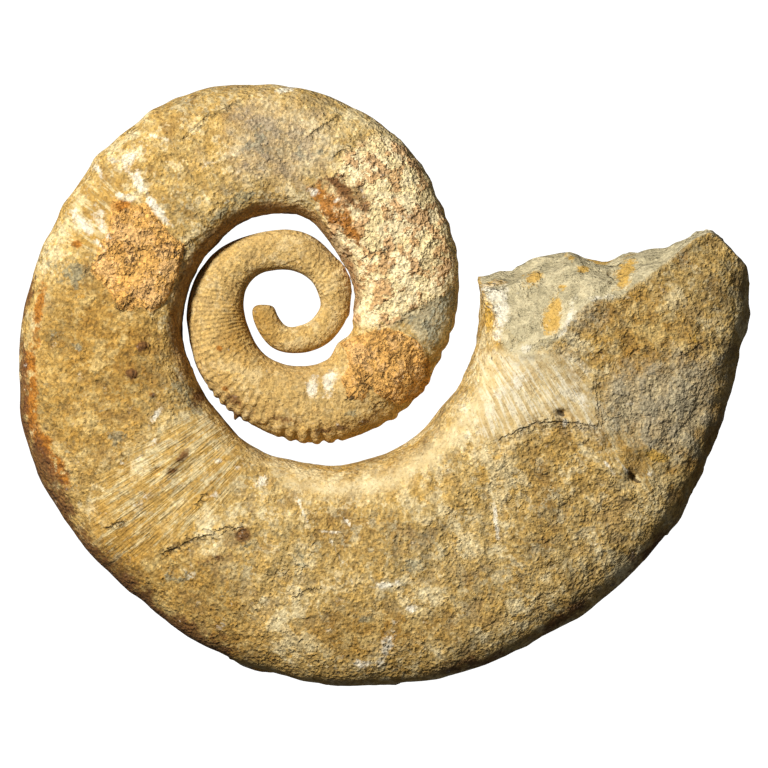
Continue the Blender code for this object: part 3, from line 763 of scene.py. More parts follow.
def section(turn, around):
    """The tube's section: a rounded oblong whose radius in each direction is
    (|cos|^n + |sin|^n)^(-1/n), with n running from the inner side's to the outer
    side's exponent, scaled to the tube's depth and thickness and sloped toward its
    outer edge. Gives the distance from the coil's centre and the height off its
    plane."""
    inner = smooth_curve(turn, WHORL_RADII, 1)
    outer = smooth_curve(turn, WHORL_RADII, 2)
    width = smooth_curve(turn, SECTION_FORM, 1)
    inner_form = smooth_curve(turn, SECTION_FORM, 2)
    outer_form = smooth_curve(turn, SECTION_FORM, 3)
    cos, sin = np.cos(around), np.sin(around)
    power = inner_form + (outer_form - inner_form) * smooth_step(cos, -SIDE_BLEND, SIDE_BLEND)
    reach = (np.abs(cos) ** power + np.abs(sin) ** power) ** (-1 / power)
    depth = (outer - inner) / 2 * tip_scale(turn)
    slope = 1 - smooth_curve(turn, SECTION_FORM, 4) * reach * cos
    return (outer + inner) / 2 + depth * reach * cos, depth * width * slope * reach * sin


def section_outward(turn, around):
    """Outward direction in the section: the step from just before to just after
    each point, turned by a right angle."""
    before, after = section(turn, around - SMALL_ANGLE), section(turn, around + SMALL_ANGLE)
    out, up = after[1] - before[1], before[0] - after[0]
    length = np.maximum(np.hypot(out, up), TINY)
    return out / length, up / length


def break_height(across, height):
    """How far the broken end stands above the coil's centre line: a crest line
    near the middle of the thickness, falling in low steps to a front line, and to
    the back."""
    crest = straight_curve(across, BREAK_CREST)
    front = straight_curve(across, BREAK_FRONT)
    side = height / BREAK_HALF_THICKNESS
    ahead = np.clip((side - BREAK_CREST_AT) / (1 - BREAK_CREST_AT), 0.0, 1.0)
    behind = np.clip((BREAK_CREST_AT - side) / (1 + BREAK_CREST_AT), 0.0, 1.0)
    run_x, run_z, run_slant = BREAK_STEP_RUNS
    steps = np.sin(across / run_x) * np.sin(height / run_z + across / run_slant)
    steps = BREAK_STEP_HEIGHT * steps * ahead * (1 - ahead)
    fall = straight_curve(ahead, BREAK_FRONT_SLOPE)
    return crest + (front - crest) * fall - BREAK_BACK_DROP * behind + steps


def end_turn(around):
    """The turn at which each line along the tube meets the broken end, found by
    walking from the section to the break and back a few times."""
    turn = np.full_like(around, LAST_FULL_TURN)
    for _ in range(END_TURN_TRIES):
        radius, height = section(turn, around)
        across = radius * np.cos(np.radians(turn - LAST_FULL_TURN))
        turn = LAST_FULL_TURN + np.degrees(np.arctan2(break_height(across, height), across))
    return turn


def ring_angles(count):
    """Angles around the tube, closer together on the flank that faces up: the
    share of the ring passed at angle a is (a + lift * (1 - cos a)) / full turn."""
    fine = np.linspace(0.0, FULL_TURN, RING_STEPS)
    passed = (fine + UPPER_CROWDING * (1 - np.cos(fine))) / FULL_TURN
    return np.interp(np.arange(count) / count, passed, fine)


def station_turns(first, last, count):
    """Turns spaced evenly along the tube's outer half between two turns."""
    fine = np.linspace(first, last, STATION_STEPS)
    inner, outer = smooth_curve(fine, WHORL_RADII, 1), smooth_curve(fine, WHORL_RADII, 2)
    pace = (1 - OUTER_PACE) * inner + OUTER_PACE * outer
    passed = np.concatenate([[0.0], np.cumsum((pace[1:] + pace[:-1]) / 2)])
    return np.interp(np.linspace(0.0, passed[-1], count), passed, fine)


# --------------------------------------------------- places and lines on the sheet

def sheet_view(points):
    """Sheet place of points, as seen from the eye above the sheet's middle, and
    how fully they are on the upper side, 0 to 1."""
    reach = 1 - points[..., 2] / SHEET_EYE
    middle_x = (SHEET_MIDDLE[0] - SHEET_CENTRE[0]) * SHEET_STEP
    middle_y = (SHEET_CENTRE[1] - SHEET_MIDDLE[1]) * SHEET_STEP
    x = middle_x + (points[..., 0] - middle_x) / reach
    y = middle_y + (points[..., 1] - middle_y) / reach
    column, row = SHEET_CENTRE[0] + x / SHEET_STEP, SHEET_CENTRE[1] - y / SHEET_STEP
    return column, row, fade(points[..., 2], "upper_side")


def run_distance(column, row, start, end):
    """Distance in sheet steps to a straight run: to the point on its line that is
    straight across from each place, held between the run's ends."""
    run_x, run_y = end[0] - start[0], end[1] - start[1]
    t = ((column - start[0]) * run_x + (row - start[1]) * run_y) / (run_x ** 2 + run_y ** 2)
    t = np.clip(t, 0.0, 1.0)
    return np.hypot(column - start[0] - t * run_x, row - start[1] - t * run_y)


def outline_depth(column, row, corners):
    """Distance in sheet steps to a closed outline, positive inside: the least
    distance to its sides, signed by counting the sides that a ray crosses."""
    nearest = np.full(column.shape, np.inf)
    inside = np.zeros(column.shape, dtype=bool)
    for (ax, ay), (bx, by) in zip(corners, corners[1:] + corners[:1]):
        nearest = np.minimum(nearest, run_distance(column, row, (ax, ay), (bx, by)))
        crosses = (ay > row) != (by > row)
        inside ^= crosses & (column < ax + (row - ay) * (bx - ax) / ((by - ay) or TINY))
    return np.where(inside, nearest, -nearest)


def spots(column, row, rows):
    """The highest of a set of oval cones: each stands as high as its strength in
    the middle and falls by one on its outline. Rows: column, row, half length, half
    width, lean in degrees, strength."""
    total = np.full(column.shape, -1.0)
    for centre_column, centre_row, length, width, lean, strength in rows:
        cos, sin = math.cos(math.radians(lean)), math.sin(math.radians(lean))
        right, up = column - centre_column, centre_row - row
        far = np.hypot((right * cos + up * sin) / length, (up * cos - right * sin) / width)
        total = np.maximum(total, strength - far)
    return total


# ------------------------------------------------------- where each finish lies

def patch_depths(view, points):
    """How far inside each patch a point lies, in mm. The upper flank follows the
    outlines; the hidden side gets patches of the same kind from slow noise."""
    column, row, front = view
    depths = {}
    for number, (name, (outlines, cover)) in enumerate(PATCHES.items()):
        drawn = np.full(column.shape, LEAST_DEPTH)
        for corners in outlines:
            drawn = np.maximum(drawn, outline_depth(column, row, corners) * SHEET_STEP)
        behind = HIDDEN_DEPTH * fractal(points, "hidden_patch", own_seed=number) - cover
        depths[name] = front * drawn + (1 - front) * behind
    return depths


def spot_strengths(view, points):
    """Height of each kind of small spot's cones; the hidden side gets scattered
    spots from noise."""
    column, row, front = view
    strengths = {}
    for number, (name, (rows, size, cover)) in enumerate(SPOTS.items()):
        behind = HIDDEN_SPOT_STRENGTH * fractal(points, "hidden_spot", size, number) - cover
        strengths[name] = front * spots(column, row, rows) + (1 - front) * behind
    return strengths


def crack_fields(view):
    """For each point, the side and distance in mm of the nearest crack line, and
    how near it is, from 0 to 1. The signed distance crosses zero on the line."""
    column, row, front = view
    nearest = np.full(column.shape, np.inf)
    side, strength = np.zeros(column.shape), np.zeros(column.shape)
    for marked, corners in CRACKS:
        for start, end in zip(corners, corners[1:]):
            far = run_distance(column, row, start, end)
            left = (row - start[1]) * (end[0] - start[0])
            right = (column - start[0]) * (end[1] - start[1])
            closer = far < nearest
            side = np.where(closer, np.where(right < left, -far, far), side)
            strength = np.where(closer, marked, strength)
            nearest = np.minimum(nearest, far)
    return side * SHEET_STEP, (1 - fade(nearest, "off_crack")) * strength * front


def rib_number(turn, around):
    """Running number of the rib at each point, leaning back toward the outer edge."""
    return straight_curve(turn + RIB_LEAN_TURN * np.cos(around), RIB_NUMBERS)


def rib_relief(turn, around, points):
    """Ribs of the inner whorls, patchily worn and strongest on the outer edge: a
    cosine of their running number, less a share of its double, which flattens the
    crests and sharpens the gaps. Then the stumps of three more on the last whorl."""
    phase = FULL_TURN * rib_number(turn, around)
    wave = np.cos(phase) - RIB_GAP_SHARE * np.cos(2 * phase)
    outward = RIB_FLANK_SHARE + (1 - RIB_FLANK_SHARE) * np.cos(around)
    outward = np.clip(outward, 0.0, 1.0) ** RIB_EDGE_POWER
    left = RIB_WEAR + RIB_WEAR_RANGE * fractal(points, "rib_wear")
    relief = straight_curve(turn, RIB_STRENGTHS) * outward * np.clip(left, 0.0, MOST_RIB) * wave
    for stump in RIB_STUMPS:
        near = np.exp(-((turn - stump) / STUMP_WIDTH_TURN) ** 2)
        relief += STUMP_HEIGHT * near * np.clip(np.cos(around), 0.0, 1.0) ** 2
    return relief


def swell_relief(points):
    """Slow unevenness of a worn stone: a sum of crossed waves."""
    total = np.zeros(points.shape[:-1])
    x, y, z = points[..., 0], points[..., 1], points[..., 2]
    for height, wave_x, wave_y, wave_z, phase in SWELLS:
        ripple = np.sin(FULL_TURN * x / wave_x + phase) * np.sin(FULL_TURN * y / wave_y)
        depth = SWELL_DEPTH_SHARE * np.sin(FULL_TURN * z / wave_z + phase)
        total += height * (ripple + depth)
    return total


def patch_relief(depths, points):
    """Raised crusts and matrix: each a plate with a ragged edge and its own lumps."""
    ragged, lumps, knobs = (fractal(points, name) for name in ("ragged", "lumps", "knobs"))
    relief = 0.0
    for name, raggedness, start, full, plate, lump_height, knob_height in RAISED_PATCHES:
        cover = smooth_step(depths[name] + raggedness * ragged, start, full)
        relief = relief + cover * (plate + lump_height * lumps + knob_height * knobs)
    return relief


def hollow_relief(view):
    """Holes, dents and knobs: each a soft-edged oval bowl, or one upside down."""
    column, row, front = view
    relief = np.zeros(column.shape)
    for *oval, depth in HOLLOWS:
        relief -= depth * fade(spots(column, row, ((*oval, 1.0),)), "hollow")
    return relief * front


def wall_relief(turn, around, points, depths, view, heights):
    """All relief on the tube's wall in millimetres, outward positive. Heights are
    the user's shares of the ribs' and the crusts' height."""
    small, grown = SWELL_GROWTH_RADII
    size = (smooth_curve(turn, WHORL_RADII, 2) - small) / (grown - small)
    size = np.clip(size, LEAST_SWELL, 1.0)
    relief = size * (swell_relief(points) + SLOW_HEIGHT * fractal(points, "slow"))
    side = fade(-np.cos(around), "rough_side") * (1 - fade(turn, "rough_side_ends"))
    rough = fade(turn, "rough_quarter") + ROUGH_SIDE_SHARE * side * fade(turn, "rough_side_starts")
    everywhere, grows, where_rough = ROUGH_HEIGHTS
    height = everywhere + grows * size + where_rough * rough
    relief += height * fractal(points, "rough")
    relief += heights[0] * rib_relief(turn, around, points)
    relief += heights[1] * patch_relief(depths, points)
    return (relief + hollow_relief(view)) * tip_scale(turn)


# ------------------------------------------------------------ the coil's points

def wall_grid(stations, ring):
    """Turn and angle around the tube for every point of part of the wall. The last
    stations lean, more and more, to meet the broken end."""
    around = ring_angles(ring)
    reach = end_turn(around) - NOMINAL_END_TURN
    bend = np.clip((stations - NOMINAL_END_TURN + END_BEND_TURN) / END_BEND_TURN, 0.0, 1.0)
    turn = stations[:, None] + reach[None, :] * bend[:, None] ** END_BEND_POWER
    return turn, np.broadcast_to(around, turn.shape)


def in_plane(radius, turn, height):
    """Points from distance, turn and height off the coil's plane."""
    angle = np.radians(turn)
    return np.stack([radius * np.cos(angle), radius * np.sin(angle), height], axis=-1)


def wall_surface(turn, around, heights):
    """A piece of wall: its bare points, its finished points, which are moved along
    the section's outward direction by the relief, and the fields stored on them."""
    radius, height = section(turn, around)
    lean_out, lean_up = section_outward(turn, around)
    bare, outward = in_plane(radius, turn, height), in_plane(lean_out, turn, lean_up)
    view = sheet_view(bare)
    depths = patch_depths(view, bare)
    relief = wall_relief(turn, around, bare, depths, view, heights)
    fields = point_fields(bare, view, depths, turn, around, 0.0)
    return bare, bare + outward * relief[..., None], fields


def point_fields(points, view, depths, turn, around, broken):
    """Everything that the stone's finish reads, one value for each point. Broken is
    1 on the broken end and 0 on the wall."""
    side, near = crack_fields(view)
    # The inner wall on the turns that face it away from the lamp, whose brown is partly a stain
    # and partly painted shade.
    shaded = fade(turn, "dark_wall_starts") * (1 - fade(turn, "dark_wall_ends"))
    fields = {
        **depths, **spot_strengths(view, points), "crack_side": side, "crack_near": near,
        "broken_end": np.full(turn.shape, broken),
        "inner_whorl": 1 - fade(turn, "past_inner_whorls"),
        "rib_number": rib_number(turn, around),
        "rib_strength": straight_curve(turn, FINE_RIB_STRENGTHS),
        "rough_end": fade(turn, "rough_end") * (1 - BREAK_SMOOTHNESS * broken),
        "growth_place": growth_place(turn, points),
        "inner_wall_stain_and_shade": fade(-np.cos(around), "dark_wall") * shaded * (1 - broken),
    }
    return {**fields, **relief_fields(fields)}


def relief_fields(fields):
    """How high each fine relief pattern stands at each point, in mm: the sum of its
    amounts, each times how fully its kind of surface covers the point."""
    smooth = np.maximum(fade(fields["smooth_shell"], "smoothed_shell"),
                        fade(fields["cream_and_lit_wall"], "smoothed_wall"))
    plain = 1 - SMOOTHNESS * smooth
    rusty, pale, scraped, shell, fresh = (
        fade(fields[name], name)
        for name in ("rusty_crust", "pale_crust", "scraped", "smooth_shell", "fresh_break"))
    cover = (plain, fields["rough_end"] * plain, rusty, pale, fields["inner_whorl"], scraped,
             shell, fresh)
    return {"relief_" + name: sum(amount * share for amount, share in zip(amounts, cover))
            for name, _, amounts in RELIEF_AMOUNTS}


def growth_place(turn, points):
    """A place that stays the same along each growth line, which curves back as
    turn = start - lean * ln(radius): how far along the tube, in mm at the middle
    radius, then the distance from the centre, then the height off the plane."""
    radius = np.hypot(points[..., 0], points[..., 1])
    lean = straight_curve(turn, GROWTH_LEAN)
    along = GROWTH_RADIUS * (np.radians(turn) + lean * np.log(radius / GROWTH_RADIUS))
    return np.stack([along, radius, points[..., 2]], axis=-1)


def cap_surface(bare_rim, rim):
    """The broken end: rings shrinking from the rim to the middle, laid on the break
    and moved along its normal by rough stone and flat facets, which fade out at the
    rim, where the rings are carried to the wall's own last ring."""
    shrink = np.linspace(1.0, 0.0, CAP_RINGS + 2)[1:-1, None]
    middle = bare_rim[:, [0, 2]].mean(axis=0)
    flat = middle + (bare_rim[None, :, [0, 2]] - middle) * shrink[..., None]
    across, height = flat[..., 0], flat[..., 1]
    bare = np.stack([across, break_height(across, height), height], axis=-1)
    slope_x = break_height(across + 1, height) - break_height(across - 1, height)
    slope_z = break_height(across, height + 1) - break_height(across, height - 1)
    outward = np.stack([-slope_x / 2, np.ones_like(across), -slope_z / 2], axis=-1)
    outward /= np.linalg.norm(outward, axis=-1, keepdims=True)
    bent = bare + FACET_BEND * fractal(bare, "facet_bend")[..., None]
    relief = FACET_STEP * (nearest_seed(bent, FACET_SIZE, FACET_SEED) - 0.5)
    for name, rough_height in BREAK_HEIGHTS:
        relief += rough_height * fractal(bare, name)
    relief *= 1 - shrink ** BREAK_RIM_POWER
    start = bare_rim.copy()
    start[:, 1] = break_height(bare_rim[:, 0], bare_rim[:, 2])
    carry = (rim - start)[None] * shrink[..., None] ** BREAK_CARRY_POWER
    return bare, bare + carry + outward * relief[..., None]


def lay_down(points):
    """Lean the coil to its rest, move it to its place in the frame, turn millimetres
    into metres, and hold it in the solid's box, which wears it flat on the ground."""
    lean = np.array(Matrix.Rotation(math.radians(REST_LEAN), 3, "Y"))
    placed = points @ lean.T + np.array(COIL_CENTRE)
    low, high = np.array(CAD_BOX)
    return np.clip(placed * MM, low, high)


# -------------------------------------------------------------- faces and layout

def band_faces(first, rings, count):
    """Four-sided faces between rings that follow each other, closed around."""
    ring = np.arange(rings - 1)[:, None] * count + first
    here = np.arange(count)[None, :]
    there = (here + 1) % count
    corners = (ring + here, ring + count + here, ring + count + there, ring + there)
    return np.stack(corners, axis=-1).reshape(-1, 4)


def step_faces(coarse, fine, count):
    """Triangles between a ring and one with twice its points."""
    here = np.arange(count)
    there = (here + 1) % count
    first, middle, last = fine + 2 * here, fine + 2 * here + 1, fine + 2 * there
    rows = ((coarse + here, first, middle), (coarse + here, middle, coarse + there),
            (coarse + there, middle, last))
    return np.concatenate([np.stack(row, axis=-1) for row in rows])


def fan_faces(ring, count, point, flip):
    """Triangles between a ring and one point."""
    here = np.arange(count)
    there = (here + 1) % count
    pair = (ring + there, ring + here) if flip else (ring + here, ring + there)
    return np.stack([pair[0], pair[1], np.full(count, point)], axis=-1)


def in_box(shares, box):
    """Flat places given as shares of a box, 0 to 1 each way, put into that box."""
    box = np.array(box)
    return box[:2] + shares.reshape(-1, 2) * (box[2:] - box[:2])


def strip_layout(turns, ring, strips):
    """Flat places for a band of wall: it is cut along its outer edge, and across
    into strips, each laid in its own box. A face takes its four corners from its
    station and its step around the ring."""
    places = np.zeros((len(turns) - 1, ring, 4, 2))
    for low, high, box in strips:
        rows = np.where((turns[:-1] >= low) & (turns[:-1] < high))[0]
        along = box[0] + (box[2] - box[0]) * np.arange(len(rows) + 1) / len(rows)
        over = box[1] + (box[3] - box[1]) * np.arange(ring + 1) / ring
        for corner, (step, side) in enumerate(((0, 0), (1, 0), (1, 1), (0, 1))):
            places[rows, :, corner, 0] = along[step:step + len(rows), None]
            places[rows, :, corner, 1] = over[None, side:side + ring]
    return places.reshape(-1, 2)


def step_layout(count):
    """Flat places of step_faces: the coarse ring along the bottom of a box, and the
    fine one along its top."""
    step = np.linspace(0.0, 1.0, count + 1)
    here, there, low, high = step[:-1], step[1:], np.zeros(count), np.ones(count)
    half = (here + there) / 2
    rows = (((here, low), (here, high), (half, high)), ((here, low), (half, high), (there, low)),
            ((there, low), (half, high), (there, high)))
    shares = [np.stack([np.stack(place, axis=-1) for place in row], axis=1) for row in rows]
    return in_box(np.concatenate(shares), JOIN_BOX)


def tip_layout(count):
    """Flat places of the closed tip's fan: a disc."""
    angle = FULL_TURN * np.arange(count) / count
    circle = 0.5 + 0.5 * np.stack([np.cos(angle), np.sin(angle)], axis=-1)
    middle = np.full((count, 2), 0.5)
    return in_box(np.stack([np.roll(circle, -1, axis=0), circle, middle], axis=1), TIP_BOX)


def cap_layout(faces, points, cap):
    """Flat places of faces on the broken end: its plan, as shares of the cap's."""
    plan = points[:, [0, 2]]
    low, high = plan[cap.ravel()].min(axis=0), plan[cap.ravel()].max(axis=0)
    return in_box((plan[faces.ravel()] - low) / (high - low), CAP_BOX)


def coil_surface(heights):
    """The whole coil: its points, their fields, its faces and their flat layout."""
    tip = TIP_TURN + TIP_ROUNDING_TURN * np.array(TIP_FRACTIONS)
    first = tip[-1] + FIRST_STATION_TURN
    inner = np.concatenate([tip, station_turns(first, RING_CHANGE_TURN, INNER_STATIONS)])
    outer = station_turns(RING_CHANGE_TURN, NOMINAL_END_TURN, OUTER_STATIONS + 1)[1:]
    parts = [wall_surface(*wall_grid(turns, ring), heights)
             for turns, ring in ((inner, INNER_RING), (outer, OUTER_RING))]
    bare, raised = cap_surface(parts[1][0][-1], parts[1][1][-1])
    column, row, front = sheet_view(bare)
    view = (column, row, np.ones_like(front))
    turn = np.full(column.shape, NOMINAL_END_TURN)
    fields = point_fields(bare, view, patch_depths(view, bare), turn, 0 * turn, 1.0)
    parts.append((bare, raised, fields))

    ends = np.array([parts[0][1][0].mean(axis=0), raised[-1].mean(axis=0)])
    points = np.concatenate([part[1].reshape(-1, 3) for part in parts] + [ends])
    for name, values in parts[0][2].items():
        rows = [part[2][name].reshape(-1, *values.shape[2:]) for part in parts]
        fields[name] = np.concatenate(rows + [rows[0][:1], rows[2][-1:]])

    outer_first = inner.size * INNER_RING
    cap_first = outer_first + outer.size * OUTER_RING
    tip_point = cap_first + CAP_RINGS * OUTER_RING
    quads = [band_faces(0, inner.size, INNER_RING),
             band_faces(outer_first, outer.size, OUTER_RING),
             band_faces(cap_first - OUTER_RING, CAP_RINGS + 1, OUTER_RING)]
    triangles = [step_faces(outer_first - INNER_RING, outer_first, INNER_RING),
                 fan_faces(0, INNER_RING, tip_point, True),
                 fan_faces(tip_point - OUTER_RING, OUTER_RING, tip_point + 1, False)]
    places = [strip_layout(inner, INNER_RING, INNER_STRIPS),
              strip_layout(outer, OUTER_RING, OUTER_STRIPS),
              cap_layout(quads[2], points, quads[2]), step_layout(INNER_RING),
              tip_layout(INNER_RING), cap_layout(triangles[2], points, quads[2])]
    return points, fields, quads, triangles, np.concatenate(places)


def make_mesh(name, points, fields, quads, triangles, places):
    """A mesh from whole arrays: points, faces, the layout and the stored fields."""
    mesh = bpy.data.meshes.new(name)
    four, three = np.concatenate(quads), np.concatenate(triangles)
    sizes = np.concatenate([np.full(len(four), 4), np.full(len(three), 3)])
    corners = np.concatenate([four.ravel(), three.ravel()])
    mesh.vertices.add(len(points))
    mesh.vertices.foreach_set("co", points.ravel())
    mesh.loops.add(len(corners))
    mesh.loops.foreach_set("vertex_index", corners)
    mesh.polygons.add(len(sizes))
    mesh.polygons.foreach_set("loop_start", np.cumsum(sizes) - sizes)
    mesh.update(calc_edges=True)
    layout = mesh.uv_layers.new(name=LAYOUT_NAME)
    layout.data.foreach_set("uv", places.ravel())
    packs = {"growth_place": fields["growth_place"]}
    for first in range(0, len(FIELDS), 3):
        rows = [fields[name] for name in FIELDS[first:first + 3]]
        rows += [np.zeros(len(points))] * (3 - len(rows))
        packs[PACK_NAME % (first // 3)] = np.stack(rows, axis=-1)
    for pack, values in packs.items():
        stored = mesh.attributes.new(pack, "FLOAT_VECTOR", "POINT")
        stored.data.foreach_set("vector", values.astype(np.float32).ravel())
    mesh.shade_smooth()
    if mesh.validate():
        raise RuntimeError("the coil's mesh had faults that Blender mended")
    return mesh


# --------------------------------------------------------------- the stone finish

def add(tree, kind, inputs=(), **settings):
    """Add one node: its settings are set as properties, and its inputs, given as
    socket names or numbers with a value each, are linked or set."""
    node = tree.nodes.new(kind)
    for name, value in settings.items():
        setattr(node, name, value)
    for socket, value in dict(inputs).items():
        if isinstance(value, bpy.types.NodeSocket):
            tree.links.new(value, node.inputs[socket])
        else:
            node.inputs[socket].default_value = value
    return node


def pattern_outputs(tree):
    """The stone's patterns and stored values by name, each pattern with its size in
    millimetres."""
    place = add(tree, "ShaderNodeTexCoord").outputs["Object"]
    growth = add(tree, "ShaderNodeAttribute", attribute_name="growth_place").outputs["Vector"]
    outputs, rows = {}, []
    for seed, (name, size, octaves, rough) in enumerate(PATTERNS):
        shift, turn = ([seed * step for step in steps] for steps in (PATTERN_SHIFT, PATTERN_TURN))
        rows.append((name, octaves, rough, {
            "Vector": place, "Location": shift, "Rotation": turn,
            "Scale": (1 / (size * MM),) * 3}))
    for name, across, along, octaves, rough in GROWTH_PATTERNS:
        rows.append((name, octaves, rough, {
            "Vector": growth, "Scale": (1 / across, 1 / along, 1 / along)}))
    for name, octaves, rough, mapping in rows:
        moved = add(tree, "ShaderNodeMapping", mapping).outputs[0]
        outputs[name] = add(tree, "ShaderNodeTexNoise", {
            "Vector": moved, "Scale": 1.0, "Detail": octaves, "Roughness": rough}).outputs["Fac"]
    waves = add(tree, "ShaderNodeCombineXYZ", {
        0: outputs["mottle"], 1: outputs["patch"], 2: outputs["mottle_b"]}).outputs[0]
    for name, size, bend, reading in CELLS:
        bent = add(tree, "ShaderNodeVectorMath", {0: waves, 1: (bend * MM,) * 3, 2: place},
                   operation="MULTIPLY_ADD").outputs[0]
        moved = add(tree, "ShaderNodeMapping", {"Vector": bent, "Scale": (1 / (size * MM),) * 3})
        outputs[name] = add(tree, "ShaderNodeTexVoronoi", {
            "Vector": moved.outputs[0], "Scale": 1.0}).outputs[reading]
    for first in range(0, len(FIELDS), 3):
        stored = add(tree, "ShaderNodeAttribute", attribute_name=PACK_NAME % (first // 3))
        split = add(tree, "ShaderNodeSeparateXYZ", {0: stored.outputs["Vector"]})
        outputs.update(zip(FIELDS[first:first + 3], split.outputs))
    return outputs


def weighted_sum(tree, outputs, rows, total):
    """Patterns less their middle value, each times its weight, added to a total."""
    for source, middle, weight in rows:
        centred = add(tree, "ShaderNodeMath", {0: outputs[source], 1: middle},
                      operation="SUBTRACT").outputs[0]
        total = add(tree, "ShaderNodeMath", {0: centred, 1: weight, 2: total},
                    operation="MULTIPLY_ADD").outputs[0]
    return total


def layer_mask(tree, outputs, limits, strength):
    """Product of soft thresholds. Each limit is a source, how much ragged noise is
    added to it, and the values where the mask starts and is full."""
    mask = strength
    for source, ragged, low, high in limits:
        value = outputs[source]
        if ragged:
            value = add(tree, "ShaderNodeMath", {0: outputs["edge"], 1: ragged, 2: value},
                        operation="MULTIPLY_ADD").outputs[0]
            low, high = low + ragged / 2, high + ragged / 2
        step = add(tree, "ShaderNodeMapRange", {
            "Value": value, "From Min": low, "From Max": high},
            interpolation_type="SMOOTHSTEP").outputs[0]
        mask = add(tree, "ShaderNodeMath", {0: step, 1: mask}, operation="MULTIPLY").outputs[0]
    return mask


def line_outputs(tree, outputs):
    """Cracks, ledges, fissures and fine ribs, by the rows of steps in order."""
    for result, operation, *values in LINE_STEPS:
        values = [outputs[value] if isinstance(value, str) else value for value in values]
        if operation in ("LINEAR", "SMOOTHSTEP"):
            step = add(tree, "ShaderNodeMapRange", zip(("Value", "From Min", "From Max"), values),
                       interpolation_type=operation)
        else:
            step = add(tree, "ShaderNodeMath", enumerate(values), operation=operation)
        outputs[result] = step.outputs[0]


def stone_tone(tree, outputs):
    """The weighted sum of the tone patterns, read off as one of the stone's shades."""
    tone = weighted_sum(tree, outputs, TONE_WEIGHTS, 0.5)
    shades = add(tree, "ShaderNodeValToRGB", {"Fac": tone})
    stops = shades.color_ramp.elements
    while len(stops) < len(TONE_STOPS):
        stops.new(0.5)
    for stop, (position, shade) in zip(stops, TONE_STOPS):
        stop.position, stop.color = position, (*linear(shade), 1.0)
    return shades.outputs["Color"]


def stone_colour(tree, outputs, finish):
    """Layers of colour over the stone's tone, each through its own ragged mask, then
    all of it times the grains' tone and painted shade."""
    colour = stone_tone(tree, outputs)
    for blend, shade, limits, strength in COLOUR_LAYERS:
        paint = linear(shade) if shade.startswith("#") else getattr(finish, shade)
        mask = layer_mask(tree, outputs, limits, strength)
        colour = add(tree, "ShaderNodeMix", {0: mask, 6: colour, 7: (*paint, 1.0)},
                     data_type="RGBA", blend_type=blend).outputs[2]
    # The grains' tone times its strength: pebble and flakes paint shade in the relief's hollows
    # and light on its tops.
    shade = weighted_sum(tree, outputs, GRAIN_TONE_AND_SHADE_WEIGHTS, 0.0)
    shade = add(tree, "ShaderNodeMath", {0: shade, 1: outputs["relief_grain"], 2: 1.0},
                operation="MULTIPLY_ADD").outputs[0]
    return add(tree, "ShaderNodeVectorMath", {0: colour, "Scale": shade},
               operation="SCALE").outputs[0]


def stone_height(tree, outputs):
    """Fine relief in millimetres: patterns less their middle value times what is
    stored for them, then further layers of them, each within its limits."""
    height = 0.0
    level = dict(outputs)
    for source, middle, _ in RELIEF_AMOUNTS:
        level[source] = outputs["relief_" + source]
        if source in outputs:
            centred = add(tree, "ShaderNodeMath", {0: outputs[source], 1: middle},
                          operation="SUBTRACT").outputs[0]
            level[source] = add(tree, "ShaderNodeMath", {0: centred, 1: level[source]},
                                operation="MULTIPLY").outputs[0]
            height = add(tree, "ShaderNodeMath", {0: height, 1: level[source]},
                         operation="ADD").outputs[0]
    for source, amount, limits in HEIGHT_LAYERS:
        mask = layer_mask(tree, outputs, limits, amount)
        height = add(tree, "ShaderNodeMath", {0: level[source], 1: mask, 2: height},
                     operation="MULTIPLY_ADD").outputs[0]
    return height


def ochre_limestone(finish):
    """Weathered ochre limestone: a marly limestone cast of a shell, stained by iron,
    with crusts of sediment, scraps of white calcite and thin cracks. It is matt and
    grainy, so it gives the eye a warm mottled colour and no gloss."""
    material = bpy.data.materials.new("weathered_ochre_limestone")
    material.use_nodes = True
    tree = material.node_tree
    tree.nodes.clear()
    outputs = pattern_outputs(tree)
    line_outputs(tree, outputs)
    colour = stone_colour(tree, outputs, finish)
    bump = add(tree, "ShaderNodeBump", {
        "Height": stone_height(tree, outputs), "Strength": 1.0, "Distance": MM,
        "Filter Width": RELIEF_SPAN})
    shader = add(tree, "ShaderNodeBsdfPrincipled", {
        "Base Color": colour, "Roughness": finish.roughness, "Metallic": 0.0,
        "IOR": STONE_IOR, "Specular IOR Level": STONE_GLOSS, "Normal": bump.outputs[0]})
    add(tree, "ShaderNodeOutputMaterial", {"Surface": shader.outputs[0]})
    material.diffuse_color = (*linear(TONE_STOPS[2][1]), 1.0)
    return material


def floor_finish(glow):
    """White studio paper, lit through from below: all its brightness is its own, so
    no shadow shows on it."""
    material = bpy.data.materials.new("white_studio_paper")
    material.use_nodes = True
    paper = material.node_tree.nodes["Principled BSDF"].inputs
    paper["Base Color"].default_value = (0.0, 0.0, 0.0, 1.0)
    paper["Specular IOR Level"].default_value = 0.0
    paper["Emission Color"].default_value = (1.0, 1.0, 1.0, 1.0)
    paper["Emission Strength"].default_value = glow
    return material


# ----------------------------------------------------------- settings for a user

